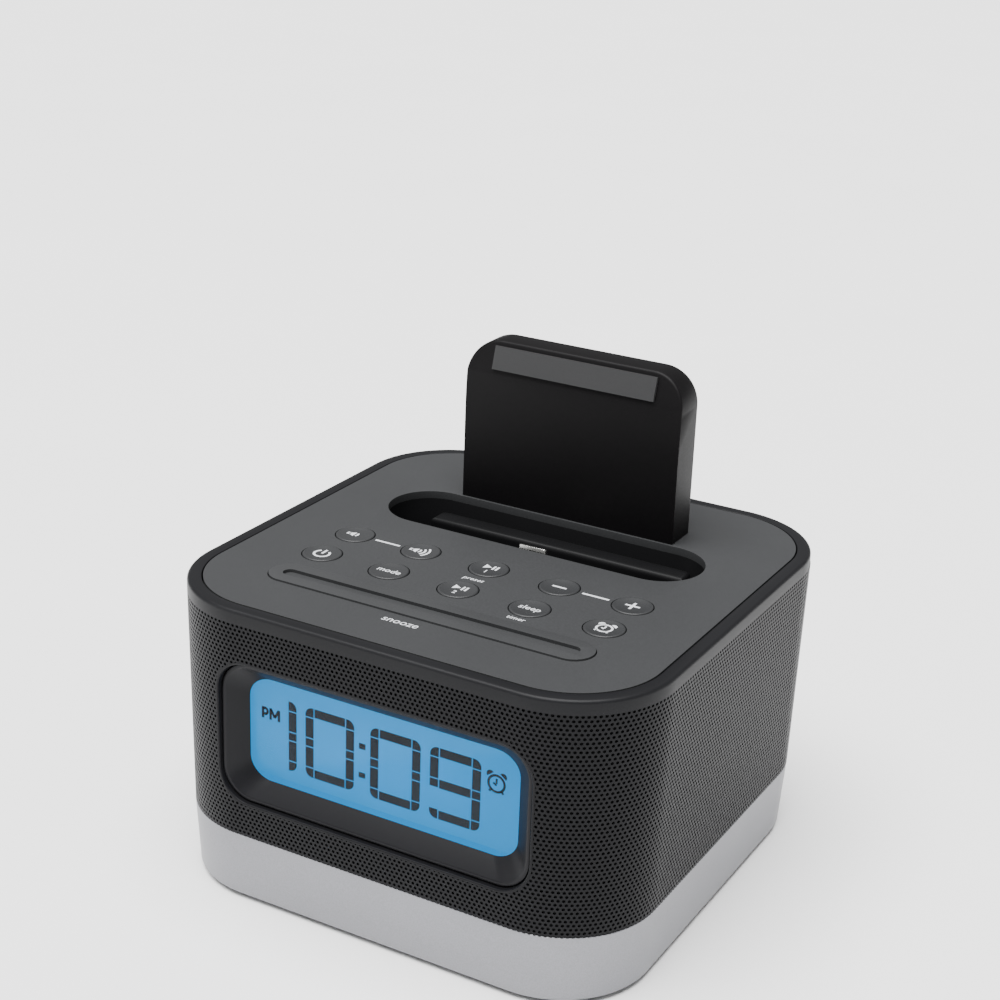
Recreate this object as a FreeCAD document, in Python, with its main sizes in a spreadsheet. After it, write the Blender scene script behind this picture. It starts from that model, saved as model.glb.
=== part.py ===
import FreeCAD, Part
import math
import os
import Sketcher
from FreeCAD import Placement, Rotation, Vector

# Clock radio with a phone dock, in millimetres.
# X to the right, Y to the back, Z up; the origin is on the floor under its middle.

doc = FreeCAD.newDocument("clock_radio")
sheet = doc.addObject("Spreadsheet::Sheet", "sizes")

driving = {
    # case, from the floor up
    "foot_height": 1.2, "foot_radius": 5.0, "foot_spread": 35.0, "foot_recess": 0.5,
    "band_half": 53.3, "band_corner": 20.65, "band_height": 15.07, "band_draft": 2.963,
    "grille_half": 54.22, "grille_corner": 21.57, "grille_height": 48.63, "grille_draft": 0.919,
    "grille_end": 36.5, "rim_half": 55.0, "rim_corner": 22.35, "rim_height": 3.07,
    "rim_edge": 0.7, "rim_width": 3.04, "groove": 0.3, "plate_thick": 1.77, "rim_ledge": 6.0,
    "chassis_half": 53.2, "chassis_corner": 20.55, "skirt_half": 51.3, "skirt_corner": 18.65,
    "cavity_half": 50.0, "cavity_corner": 17.35, "cover_thick": 3.0,
    "post_spread": 42.5, "post_radius": 4.0, "screw_radius": 1.4, "screw_length": 11.0,
    "head_radius": 2.8, "head_height": 1.8, "head_sunk": 0.2, "hole_radius": 1.6,
    "sink_radius": 3.0,
    # battery bay
    "bay_width": 36.0, "bay_depth": 30.0, "bay_y": -8.0, "bay_gap": 0.3, "door_thick": 2.0,
    "door_pin": 0.6, "pin_reach": 1.0, "pin_fit": 0.05, "pin_end": 0.1,
    "cell_radius": 12.25, "cell_height": 5.0, "cell_fit": 0.2, "holder_wall": 1.55,
    "holder_flange": 24.0, "holder_plate": 1.2, "blade_thick": 0.6, "blade_length": 4.0,
    "blade_width": 3.0, "blade_spread": 6.0,
    # buttons and snooze bar
    "button_pitch": 16.9, "rear_row": -8.2, "front_row": -21.0, "cap_radius": 4.3,
    "cap_hole": 4.5, "cap_proud": 0.2, "cap_edge": 0.4, "flange_radius": 5.2,
    "flange_thick": 1.0, "flange_gap": 0.1, "stem_radius": 1.75, "stem_gap": 0.05,
    "travel": 0.6,
    "bar_half": 37.8, "bar_width": 9.0, "bar_y": -33.5, "bar_proud": 0.3, "bar_gap": 0.2,
    "channel_half": 34.8, "channel_width": 3.0, "channel_depth": 0.7,
    "switch_side": 6.0, "switch_height": 2.4, "switch_top": 61.2,
    "board_thick": 1.6, "board_half": 38.5, "board_front": -37.5, "board_back": 0.5,
    "pillar_x": 25.4, "pillar_rear": -1.8, "pillar_front": -14.6, "pillar_radius": 2.0,
    # dock
    "slot_length": 77.0, "slot_width": 20.0, "slot_y": 15.5, "dock_wall": 1.8,
    "dock_bottom": 57.0, "well_floor": 59.4, "ledge_top": 62.9, "ledge_front": 20.9,
    "ledge_half": 32.0, "lean": 16.5, "pivot_y": 8.66, "pivot_z": 56.66,
    "boot_width": 12.0, "boot_thick": 5.0, "boot_above": 3.4, "boot_below": 3.0,
    "boot_window": 7.0, "window_front": 6.0, "window_back": 13.0,
    "trunnion_radius": 1.0, "trunnion_fit": 0.05, "ear_gap": 0.5, "ear_thick": 2.0,
    "ear_bottom": 54.2, "tab_width": 6.7, "tab_thick": 1.5, "tab_length": 6.7,
    "tab_corner": 0.6,
    "rest_half": 26.7, "rest_front": 26.0, "rest_back": 36.0, "rest_height": 38.0,
    "rest_bend": 30.5, "rest_lean": 2.2, "rest_corner": 8.0, "rest_edge": 2.0,
    "pad_width": 40.0, "pad_height": 5.4, "pad_thick": 0.7, "pad_start": 1.2,
    # display
    "bezel_width": 72.6, "bezel_height": 31.4, "bezel_corner": 7.0, "bezel_z": 40.2,
    "bezel_front": 53.4, "bezel_back": 49.9, "bezel_lip": 0.8, "bezel_gap": 0.2,
    "view_width": 63.6, "view_height": 23.4, "view_corner": 4.5,
    "window_width": 68.0, "window_height": 26.0, "window_thick": 1.2,
    "lcd_width": 66.0, "lcd_height": 25.0, "lcd_thick": 2.0, "backlight_thick": 3.0,
    "logic_width": 70.0, "logic_height": 31.0, "ribbon_width": 20.0, "ribbon_thick": 0.3,
    "ribbon_overlap": 4.0,
    # loudspeakers
    "speaker_y": -6.0, "speaker_z": 38.0, "frame_radius": 22.5, "frame_thick": 1.5,
    "cone_radius": 18.0, "cone_depth": 8.0, "coil_radius": 6.0, "paper": 0.8,
    "basket_depth": 12.0, "basket_wall": 1.2, "basket_neck": 2.0, "magnet_radius": 14.0,
    "magnet_height": 9.0, "cone_fold": 2.5, "dust_cap": 2.5,
    # main board and rear panel
    "main_half": 36.0, "main_front": -44.0, "main_back": 48.0, "main_z": 20.0,
    "chip_x": -8.0, "chip_y": -4.0, "chip_side": 12.0, "chip_height": 1.6,
    "tuner_x": -32.0, "tuner_y": 4.0, "tuner_width": 16.0, "tuner_depth": 20.0,
    "tuner_height": 4.0, "can_left": 11.0, "can_right": 20.0, "can_front": -6.0,
    "can_back": 8.0, "can_radius": 4.0, "can_height": 11.0,
    "standoff_radius": 3.0, "standoff_x": 30.0, "standoff_front": -34.0, "standoff_back": 34.0,
    "panel_half": 34.0, "panel_low": 19.0, "panel_high": 36.0, "jack_front": 38.0,
    "power_x": 26.0, "power_bore": 2.8, "power_pin": 1.0, "power_size": 11.0,
    "audio_x": 12.0, "audio_bore": 1.8, "audio_size": 8.0, "jack_z": 27.1,
    "jack_floor": 3.0, "pin_root": 2.0, "pin_short": 4.0, "hole_ring": 1.0,
    "usb_x": -3.0, "usb_width": 14.5, "usb_height": 7.0, "usb_wall": 0.7, "usb_floor": 2.0,
    "tongue_inset": 1.0, "tongue_root": 1.0, "tongue_rise": 0.2, "tongue_length": 10.0,
    "tongue_thick": 1.4,
    "gland_x": -17.0, "gland_radius": 3.0, "gland_lip": 4.2, "gland_hole": 0.9,
    "gland_inside": 4.0, "gland_ring": 1.5, "gland_past": 1.0,
    "knob_x": -28.0, "knob_width": 3.0, "knob_height": 2.4, "knob_travel": 2.0,
    "knob_gap": 0.3, "knob_inset": 1.1, "knob_length": 2.7,
    "slide_side": 1.5, "slide_setback": 9.2, "slide_depth": 8.0,
}


class Dim:
    """A size with its value now and the sheet expression that gives it."""

    def __init__(self, text, value):
        self.text = text
        self.value = value

    def combine(self, other, sign, result):
        text = other.text if isinstance(other, Dim) else repr(other)
        return Dim("(" + self.text + " " + sign + " " + text + ")", result)

    def __add__(self, other):
        return self.combine(other, "+", self.value + number(other))

    def __sub__(self, other):
        return self.combine(other, "-", self.value - number(other))

    def __mul__(self, other):
        return self.combine(other, "*", self.value * number(other))

    def __truediv__(self, other):
        return self.combine(other, "/", self.value / number(other))

    def __neg__(self):
        return self * -1


def number(size):
    return size.value if isinstance(size, Dim) else size


def fill_sheet():
    sizes = {}
    for row, (name, value) in enumerate(driving.items(), start=1):
        sheet.set("A" + str(row), name)
        sheet.set("B" + str(row), str(value))
        sheet.setAlias("B" + str(row), name)
        sizes[name] = Dim("sizes." + name, value)
    doc.recompute()
    return sizes


size = fill_sheet()
zero = size["foot_height"] * 0
band_bottom = size["foot_height"]
band_top = band_bottom + size["band_height"]
rim_bottom = band_top + size["grille_height"]
top = rim_bottom + size["rim_height"]
plate_bottom = top - size["plate_thick"]
cover_top = band_bottom + size["cover_thick"]
board_top = size["switch_top"] - size["switch_height"]
main_top = size["main_z"] + size["board_thick"]
near = 0.01  # how close two lengths must be to count as the same
groups = {}


def bind(item, path, length):
    item.setExpression(path, length.text)


# ---- sketches -------------------------------------------------------------

def make_body(name):
    body = doc.addObject("PartDesign::Body", name)
    body.Label = name
    groups[name] = body
    return body


def sketch_on(body, plane, height=zero):
    """An empty sketch on one of the body's own planes, height along its normal."""
    sketch = body.newObject("Sketcher::SketchObject", body.Name + "_sketch")
    base = next(face for face in body.Origin.OriginFeatures if face.Role == plane)
    sketch.AttachmentSupport = (base, "")
    sketch.MapMode = "FlatFace"
    bind(sketch, ".AttachmentOffset.Base.z", height)
    return sketch


def name_constraint(sketch, constraint, length):
    index = sketch.addConstraint(constraint)
    label = "size_" + str(index)
    sketch.renameConstraint(index, label)
    bind(sketch, "Constraints." + label, length)


def fix_point(sketch, curve, point, x, y):
    """Hold one point of a curve at x, y from the sketch's origin."""
    for kind, length, axis in (("DistanceX", x, -2), ("DistanceY", y, -1)):
        if abs(number(length)) < 1e-9:
            sketch.addConstraint(Sketcher.Constraint("PointOnObject", curve, point, axis))
        else:
            rule = Sketcher.Constraint(kind, -1, 1, curve, point, number(length))
            name_constraint(sketch, rule, length)


def add_circle(sketch, x, y, radius):
    centre = Vector(number(x), number(y), 0)
    curve = sketch.addGeometry(Part.Circle(centre, Vector(0, 0, 1), number(radius)))
    fix_point(sketch, curve, 3, x, y)
    name_constraint(sketch, Sketcher.Constraint("Radius", curve, number(radius)), radius)


def add_polygon(sketch, points):
    """Closed outline of straight edges, every corner held by the sheet."""
    corners = [Vector(number(x), number(y), 0) for x, y in points]
    count = len(corners)
    first = sketch.GeometryCount
    for index in range(count):
        sketch.addGeometry(Part.LineSegment(corners[index], corners[(index + 1) % count]))
    for index, (x, y) in enumerate(points):
        after = first + (index + 1) % count
        sketch.addConstraint(Sketcher.Constraint("Coincident", first + index, 2, after, 1))
        fix_point(sketch, first + index, 1, x, y)


def add_box(sketch, left, right, low, high):
    add_polygon(sketch, [(left, low), (right, low), (right, high), (left, high)])


def add_rounded(sketch, x, y, width, height, radius):
    """Rounded rectangle centred on x, y; four lines joined by four equal arcs."""
    rx, ry = width / 2 - radius, height / 2 - radius
    cx, cy, r = number(x), number(y), number(radius)
    first = sketch.GeometryCount
    for quarter in range(4):
        side_x = (1, -1, -1, 1)[quarter]
        side_y = (1, 1, -1, -1)[quarter]
        centre = Vector(cx + side_x * number(rx), cy + side_y * number(ry), 0)
        circle = Part.Circle(centre, Vector(0, 0, 1), r)
        start = quarter * math.pi / 2
        sketch.addGeometry(Part.ArcOfCircle(circle, start, start + math.pi / 2))
        fix_point(sketch, first + quarter, 3, x + rx * side_x, y + ry * side_y)
    for quarter in range(4):
        after = (quarter + 1) % 4
        start = sketch.getPoint(first + quarter, 2)
        end = sketch.getPoint(first + after, 1)
        line = sketch.addGeometry(Part.LineSegment(start, end))
        sketch.addConstraint(Sketcher.Constraint("Tangent", first + quarter, 2, line, 1))
        sketch.addConstraint(Sketcher.Constraint("Tangent", line, 2, first + after, 1))
    rule = Sketcher.Constraint("Radius", first, r)
    name_constraint(sketch, rule, radius)


def add_stadium(sketch, x, y, half_length, width):
    """Slot outline along the sketch's x, with half-round ends."""
    reach = half_length - width / 2
    cx, cy, r = number(x), number(y), number(width) / 2
    first = sketch.GeometryCount
    for side, start in ((1, -math.pi / 2), (-1, math.pi / 2)):
        circle = Part.Circle(Vector(cx + side * number(reach), cy, 0), Vector(0, 0, 1), r)
        arc = sketch.addGeometry(Part.ArcOfCircle(circle, start, start + math.pi))
        fix_point(sketch, arc, 3, x + reach * side, y)
    for here, there in ((first, first + 1), (first + 1, first)):
        line = Part.LineSegment(sketch.getPoint(here, 2), sketch.getPoint(there, 1))
        line = sketch.addGeometry(line)
        sketch.addConstraint(Sketcher.Constraint("Tangent", here, 2, line, 1))
        sketch.addConstraint(Sketcher.Constraint("Tangent", line, 2, there, 1))
    name_constraint(sketch, Sketcher.Constraint("Radius", first, r), width / 2)


# ---- features -------------------------------------------------------------

def pad(body, sketch, length, draft=None, down=False, both=False):
    feature = body.newObject("PartDesign::Pad", body.Name + "_pad")
    feature.Profile = sketch
    bind(feature, "Length", length)
    feature.Reversed = down
    feature.Midplane = both
    if draft is not None:
        bind(feature, "TaperAngle", draft)
    return feature


def pocket(body, sketch, length=None, forward=False):
    """Cut against the sketch's normal, or along it when forward; no length cuts through."""
    feature = body.newObject("PartDesign::Pocket", body.Name + "_pocket")
    feature.Profile = sketch
    feature.Reversed = forward
    if length is None:
        feature.Type = "ThroughAll"
    else:
        bind(feature, "Length", length)
    return feature


def revolve(name, points):
    """Turned piece: outline of (radius, height) points spun about the body's Z."""
    body = make_body(name)
    sketch = sketch_on(body, "XZ_Plane")
    add_polygon(sketch, points)
    feature = body.newObject("PartDesign::Revolution", name + "_turned")
    feature.Profile = sketch
    feature.ReferenceAxis = (sketch, ["V_Axis"])
    feature.Angle = 360
    return body


def round_edges(body, radius, wanted):
    """Fillet the edges of the body's tip whose middle passes the test."""
    doc.recompute()
    base = body.Tip
    names = []
    for index, edge in enumerate(base.Shape.Edges, start=1):
        middle = edge.valueAt((edge.FirstParameter + edge.LastParameter) / 2)
        if wanted(edge, middle):
            names.append("Edge" + str(index))
    feature = body.newObject("PartDesign::Fillet", body.Name + "_fillet")
    feature.Base = (base, names)
    bind(feature, "Radius", radius)
    return feature


def place(item, x=None, y=None, z=None):
    for axis, length in (("x", x), ("y", y), ("z", z)):
        if length is not None:
            bind(item, ".Placement.Base." + axis, length)


def block(name, x, y, z, width, depth, height, keep=True):
    """Part box with its low corner at x, y, z."""
    item = doc.addObject("Part::Box", name)
    item.Label = name
    bind(item, "Length", width)
    bind(item, "Width", depth)
    bind(item, "Height", height)
    place(item, x, y, z)
    if keep:
        groups[name] = item
    return item


def rod(name, x, y, z, radius, height, keep=True, turn=None):
    """Part cylinder standing on x, y, z, or lying along a turned axis."""
    item = doc.addObject("Part::Cylinder", name)
    item.Label = name
    bind(item, "Radius", radius)
    bind(item, "Height", height)
    if turn is not None:
        item.Placement = Placement(Vector(), turn)
    place(item, x, y, z)
    if keep:
        groups[name] = item
    return item


def cut(name, base, tool):
    item = doc.addObject("Part::Cut", name)
    item.Label = name
    item.Base = base
    item.Tool = tool
    groups[name] = item
    return item


def fuse(name, shapes, keep=True):
    item = doc.addObject("Part::MultiFuse", name)
    item.Label = name
    item.Shapes = shapes
    if keep:
        groups[name] = item
    return item


def collect(name, items):
    """Several identical solids that share one node."""
    item = doc.addObject("Part::Compound", name)
    item.Label = name
    item.Links = items
    groups[name] = item
    return item


def four_corners(spread):
    return [(spread * sx, spread * sy) for sx in (-1, 1) for sy in (-1, 1)]


# ---- case -----------------------------------------------------------------

def make_feet():
    feet = []
    height = size["foot_height"] + size["foot_recess"]
    for x, y in four_corners(size["foot_spread"]):
        feet.append(rod("foot", x, y, zero, size["foot_radius"], height, keep=False))
    collect("rubber_feet", feet)


def make_base_band():
    body = make_body("base_band")
    sketch = sketch_on(body, "XY_Plane", band_bottom)
    side = size["band_half"] * 2
    add_rounded(sketch, zero, zero, side, side, size["band_corner"])
    pad(body, sketch, size["band_height"], draft=size["band_draft"])
    sketch = sketch_on(body, "XY_Plane", band_bottom)
    side = size["skirt_half"] * 2
    add_rounded(sketch, zero, zero, side, side, size["skirt_corner"])
    pocket(body, sketch, forward=True)


def make_bottom_cover():
    body = make_body("bottom_cover")
    side = size["skirt_half"] * 2
    sketch = sketch_on(body, "XY_Plane", band_bottom)
    add_rounded(sketch, zero, zero, side, side, size["skirt_corner"])
    pad(body, sketch, size["cover_thick"])
    sketch = sketch_on(body, "XY_Plane", cover_top)
    for x in (-size["standoff_x"], size["standoff_x"]):
        for y in (size["standoff_front"], size["standoff_back"]):
            add_circle(sketch, x, y, size["standoff_radius"])
    pad(body, sketch, size["main_z"] - cover_top)
    sketch = sketch_on(body, "XY_Plane", band_bottom)
    half, deep = size["bay_width"] / 2, size["bay_depth"] / 2
    add_box(sketch, -half, half, size["bay_y"] - deep, size["bay_y"] + deep)
    for x, y in four_corners(size["post_spread"]):
        add_circle(sketch, x, y, size["hole_radius"])
    pocket(body, sketch, forward=True)
    sketch = sketch_on(body, "XY_Plane", band_bottom)
    for x, y in four_corners(size["post_spread"]):
        add_circle(sketch, x, y, size["sink_radius"])
    pocket(body, sketch, size["head_height"] + size["head_sunk"], forward=True)
    sketch = sketch_on(body, "XY_Plane", band_bottom)
    for x, y in four_corners(size["foot_spread"]):
        add_circle(sketch, x, y, size["foot_radius"])
    pocket(body, sketch, size["foot_recess"], forward=True)
    sketch = sketch_on(body, "YZ_Plane")
    hinge_y, hinge_z = door_hinge()
    add_circle(sketch, hinge_y, hinge_z, size["door_pin"] + size["pin_fit"])
    hole = pocket(body, sketch, size["bay_width"] + size["pin_reach"] * 2 + size["pin_end"] * 2)
    hole.Midplane = True


def door_hinge():
    """Axis of the battery door, half its thickness in from the bay's back wall."""
    radius = size["door_thick"] / 2
    return (size["bay_y"] + size["bay_depth"] / 2 - size["bay_gap"] - radius,
            band_bottom + radius)


def make_screws():
    screws = []
    seat = band_bottom + size["head_height"] + size["head_sunk"]
    for x, y in four_corners(size["post_spread"]):
        head = rod("screw_head", x, y, band_bottom + size["head_sunk"], size["head_radius"],
                   size["head_height"], keep=False)
        shank = rod("screw_shank", x, y, seat, size["screw_radius"],
                    size["screw_length"], keep=False)
        screws.append(fuse("screw", [head, shank], keep=False))
    collect("case_screws", screws)


def make_battery_door():
    door = make_body("battery_door")
    hinge_y, hinge_z = door_hinge()
    half = size["bay_width"] / 2 - size["bay_gap"]
    front = size["bay_y"] - size["bay_depth"] / 2 + size["bay_gap"]
    sketch = sketch_on(door, "XY_Plane", band_bottom)
    add_box(sketch, -half, half, front, hinge_y)
    pad(door, sketch, size["door_thick"])
    for radius, reach in ((size["door_thick"] / 2, half),
                          (size["door_pin"], size["bay_width"] / 2 + size["pin_reach"])):
        sketch = sketch_on(door, "YZ_Plane")
        add_circle(sketch, hinge_y, hinge_z, radius)
        pad(door, sketch, reach * 2, both=True)


def make_backup_battery():
    """Coin cell in a round holder that closes the bay from inside."""
    cell_top = cover_top + size["cell_height"]
    rod("backup_battery", zero, size["bay_y"], cover_top, size["cell_radius"],
        size["cell_height"])
    inner = size["cell_radius"] + size["cell_fit"]
    outer = inner + size["holder_wall"]
    plate, flange = size["holder_plate"], size["holder_flange"]
    roof = cell_top + size["blade_thick"]
    holder = revolve("battery_holder", [
        (inner, cover_top), (flange, cover_top), (flange, cover_top + plate),
        (outer, cover_top + plate), (outer, roof + plate), (zero, roof + plate),
        (zero, roof), (inner, roof)])
    place(holder, y=size["bay_y"])
    blades = []
    length, width = size["blade_length"], size["blade_width"]
    for shift in (-size["blade_spread"], size["blade_spread"]):
        blades.append(block("blade", -length / 2, size["bay_y"] + shift - width / 2, cell_top,
                            length, width, size["blade_thick"], keep=False))
    collect("battery_contacts", blades)


def make_chassis():
    body = make_body("chassis")
    side = size["skirt_half"] * 2
    sketch = sketch_on(body, "XY_Plane", cover_top)
    add_rounded(sketch, zero, zero, side, side, size["skirt_corner"])
    pad(body, sketch, band_top - cover_top)
    side = size["chassis_half"] * 2
    sketch = sketch_on(body, "XY_Plane", band_top)
    add_rounded(sketch, zero, zero, side, side, size["chassis_corner"])
    pad(body, sketch, size["grille_height"])
    side = size["cavity_half"] * 2
    sketch = sketch_on(body, "XY_Plane", cover_top)
    add_rounded(sketch, zero, zero, side, side, size["cavity_corner"])
    pocket(body, sketch, forward=True)
    sketch = sketch_on(body, "XY_Plane", cover_top)
    for x, y in four_corners(size["post_spread"]):
        add_circle(sketch, x, y, size["post_radius"])
    pad(body, sketch, rim_bottom - cover_top)
    sketch = sketch_on(body, "XY_Plane", cover_top)
    for x, y in four_corners(size["post_spread"]):
        add_circle(sketch, x, y, size["screw_radius"])
    pocket(body, sketch, size["screw_length"], forward=True)
    cut_display_hole(body)
    sketch = sketch_on(body, "XZ_Plane", -size["rim_half"])
    add_box(sketch, -size["panel_half"], size["panel_half"], size["panel_low"],
            size["panel_high"])
    pocket(body, sketch, size["rim_half"] - size["main_back"], forward=True)
    sketch = sketch_on(body, "YZ_Plane", -size["rim_half"])
    add_circle(sketch, size["speaker_y"], size["speaker_z"], size["cone_radius"])
    pocket(body, sketch, forward=True)


def cut_display_hole(body):
    gap = size["bezel_gap"] * 2
    sketch = sketch_on(body, "XZ_Plane", size["rim_half"] + 1)
    add_rounded(sketch, zero, size["bezel_z"], size["bezel_width"] + gap,
                size["bezel_height"] + gap, size["bezel_corner"] + size["bezel_gap"])
    pocket(body, sketch, size["rim_half"] / 2)


def outer_skin(body):
    """Tapered ring round the chassis, from the band up to the rim."""
    side = size["grille_half"] * 2
    sketch = sketch_on(body, "XY_Plane", band_top)
    add_rounded(sketch, zero, zero, side, side, size["grille_corner"])
    pad(body, sketch, size["grille_height"], draft=size["grille_draft"])
    side = size["chassis_half"] * 2
    sketch = sketch_on(body, "XY_Plane", band_top)
    add_rounded(sketch, zero, zero, side, side, size["chassis_corner"])
    pocket(body, sketch, forward=True)


def make_grille():
    body = make_body("grille")
    outer_skin(body)
    reach = size["rim_half"] + 1
    sketch = sketch_on(body, "XY_Plane", band_top)
    add_box(sketch, -reach, reach, size["grille_end"], reach)
    pocket(body, sketch, forward=True)
    cut_display_hole(body)


def make_rear_cover():
    body = make_body("rear_cover")
    outer_skin(body)
    reach = size["rim_half"] + 1
    sketch = sketch_on(body, "XY_Plane", band_top)
    add_box(sketch, -reach, reach, -reach, size["grille_end"])
    pocket(body, sketch, forward=True)
    sketch = sketch_on(body, "XZ_Plane", -reach)
    level = size["jack_z"]
    add_circle(sketch, size["power_x"], level, size["power_bore"] + size["hole_ring"])
    add_circle(sketch, size["audio_x"], level, size["audio_bore"] + size["hole_ring"])
    add_circle(sketch, size["gland_x"], level, size["gland_radius"])
    half = size["usb_width"] / 2
    add_box(sketch, size["usb_x"] - half, size["usb_x"] + half,
            level - size["usb_height"] / 2, level + size["usb_height"] / 2)
    half = size["knob_width"] / 2 + size["knob_travel"] + size["knob_gap"]
    tall = size["knob_height"] / 2 + size["knob_gap"]
    add_box(sketch, size["knob_x"] - half, size["knob_x"] + half, level - tall, level + tall)
    pocket(body, sketch, forward=True, length=reach - size["grille_end"])


def make_top_rim():
    body = make_body("top_rim")
    side = size["rim_half"] * 2
    sketch = sketch_on(body, "XY_Plane", rim_bottom)
    add_rounded(sketch, zero, zero, side, side, size["rim_corner"])
    pad(body, sketch, size["rim_height"])
    inset = size["rim_width"] * 2
    sketch = sketch_on(body, "XY_Plane", plate_bottom)
    add_rounded(sketch, zero, zero, side - inset, side - inset,
                size["rim_corner"] - size["rim_width"])
    pocket(body, sketch, forward=True)
    inset = size["rim_ledge"] * 2
    sketch = sketch_on(body, "XY_Plane", rim_bottom)
    add_rounded(sketch, zero, zero, side - inset, side - inset,
                size["rim_corner"] - size["rim_ledge"])
    pocket(body, sketch, forward=True)
    height = number(top)
    round_edges(body, size["rim_edge"], lambda edge, middle: (
        abs(middle.z - height) < near and is_outer(edge)))


def is_outer(edge):
    """True for edges of the rim's outer outline, not its opening."""
    middle = edge.valueAt((edge.FirstParameter + edge.LastParameter) / 2)
    half, corner = number(size["rim_half"]), number(size["rim_corner"])
    dx = max(abs(middle.x) - (half - corner), 0)
    dy = max(abs(middle.y) - (half - corner), 0)
    return abs(math.hypot(dx, dy) - corner) < near


def make_top_plate():
    body = make_body("top_plate")
    inset = size["rim_width"] + size["groove"]
    side = (size["rim_half"] - inset) * 2
    sketch = sketch_on(body, "XY_Plane", plate_bottom)
    add_rounded(sketch, zero, zero, side, side, size["rim_corner"] - inset)
    pad(body, sketch, size["plate_thick"])
    sketch = sketch_on(body, "XY_Plane", plate_bottom)
    for _, x, y in button_places():
        add_circle(sketch, x, y, size["cap_hole"])
    gap = size["bar_gap"]
    add_stadium(sketch, zero, size["bar_y"], size["bar_half"] + gap, size["bar_width"] + gap * 2)
    add_stadium(sketch, zero, size["slot_y"], size["slot_length"] / 2, size["slot_width"])
    pocket(body, sketch, forward=True)
    sketch = sketch_on(body, "XY_Plane", plate_bottom)
    for x in (-size["pillar_x"], size["pillar_x"]):
        for y in (size["pillar_front"], size["pillar_rear"]):
            add_circle(sketch, x, y, size["pillar_radius"])
    pad(body, sketch, plate_bottom - board_top, down=True)


# ---- buttons --------------------------------------------------------------

def button_places():
    """Name and place of each round button, left to right, rear row first."""
    rear = ("volume_down", "volume_up", "play", "tune_down", "tune_up")
    front = ("power", "mode", "preset", "sleep", "alarm")
    places = []
    for names, row in ((rear, size["rear_row"]), (front, size["front_row"])):
        for column, name in enumerate(names, start=-2):
            places.append((name + "_button", size["button_pitch"] * column, row))
    return places


def make_button(name, x, y):
    body = make_body(name)
    flange_top = plate_bottom - size["flange_gap"]
    flange_bottom = flange_top - size["flange_thick"]
    sketch = sketch_on(body, "XY_Plane", flange_bottom)
    add_circle(sketch, zero, zero, size["flange_radius"])
    pad(body, sketch, size["flange_thick"])
    sketch = sketch_on(body, "XY_Plane", flange_top)
    add_circle(sketch, zero, zero, size["cap_radius"])
    pad(body, sketch, top + size["cap_proud"] - flange_top)
    sketch = sketch_on(body, "XY_Plane", flange_bottom)
    add_circle(sketch, zero, zero, size["stem_radius"])
    pad(body, sketch, flange_bottom - size["switch_top"] - size["travel"] - size["stem_gap"],
        down=True)
    height = number(top + size["cap_proud"])
    round_edges(body, size["cap_edge"], lambda edge, middle: abs(middle.z - height) < near)
    place(body, x, y)


def make_snooze_bar():
    body = make_body("snooze_bar")
    flange_top = plate_bottom - size["flange_gap"]
    flange_bottom = flange_top - size["flange_thick"]
    extra = size["flange_radius"] - size["cap_radius"]
    bar_top = top + size["bar_proud"]
    sketch = sketch_on(body, "XY_Plane", flange_bottom)
    add_stadium(sketch, zero, size["bar_y"], size["bar_half"] + extra,
                size["bar_width"] + extra * 2)
    pad(body, sketch, size["flange_thick"])
    sketch = sketch_on(body, "XY_Plane", flange_top)
    add_stadium(sketch, zero, size["bar_y"], size["bar_half"], size["bar_width"])
    pad(body, sketch, bar_top - flange_top)
    sketch = sketch_on(body, "XY_Plane", bar_top)
    add_stadium(sketch, zero, size["bar_y"], size["channel_half"], size["channel_width"])
    pocket(body, sketch, size["channel_depth"])
    sketch = sketch_on(body, "XY_Plane", flange_bottom)
    add_circle(sketch, zero, size["bar_y"], size["stem_radius"])
    pad(body, sketch, flange_bottom - size["switch_top"] - size["travel"] - size["stem_gap"],
        down=True)
    height = number(bar_top)
    reach = number(size["bar_width"]) / 2 - 0.5
    middle_y = number(size["bar_y"])
    round_edges(body, size["cap_edge"], lambda edge, middle: (
        abs(middle.z - height) < near
        and (abs(middle.y - middle_y) > reach or abs(middle.x) > number(size["channel_half"]) + 1)))


def make_button_board():
    width = size["board_half"] * 2
    block("button_board", -size["board_half"], size["board_front"],
          board_top - size["board_thick"], width, size["board_back"] - size["board_front"],
          size["board_thick"])
    side = size["switch_side"]
    switches = []
    spots = [(x, y) for _, x, y in button_places()] + [(zero, size["bar_y"])]
    for x, y in spots:
        switches.append(block("switch", x - side / 2, y - side / 2, board_top, side, side,
                              size["switch_height"], keep=False))
    collect("tact_switches", switches)


# ---- dock -----------------------------------------------------------------

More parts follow.
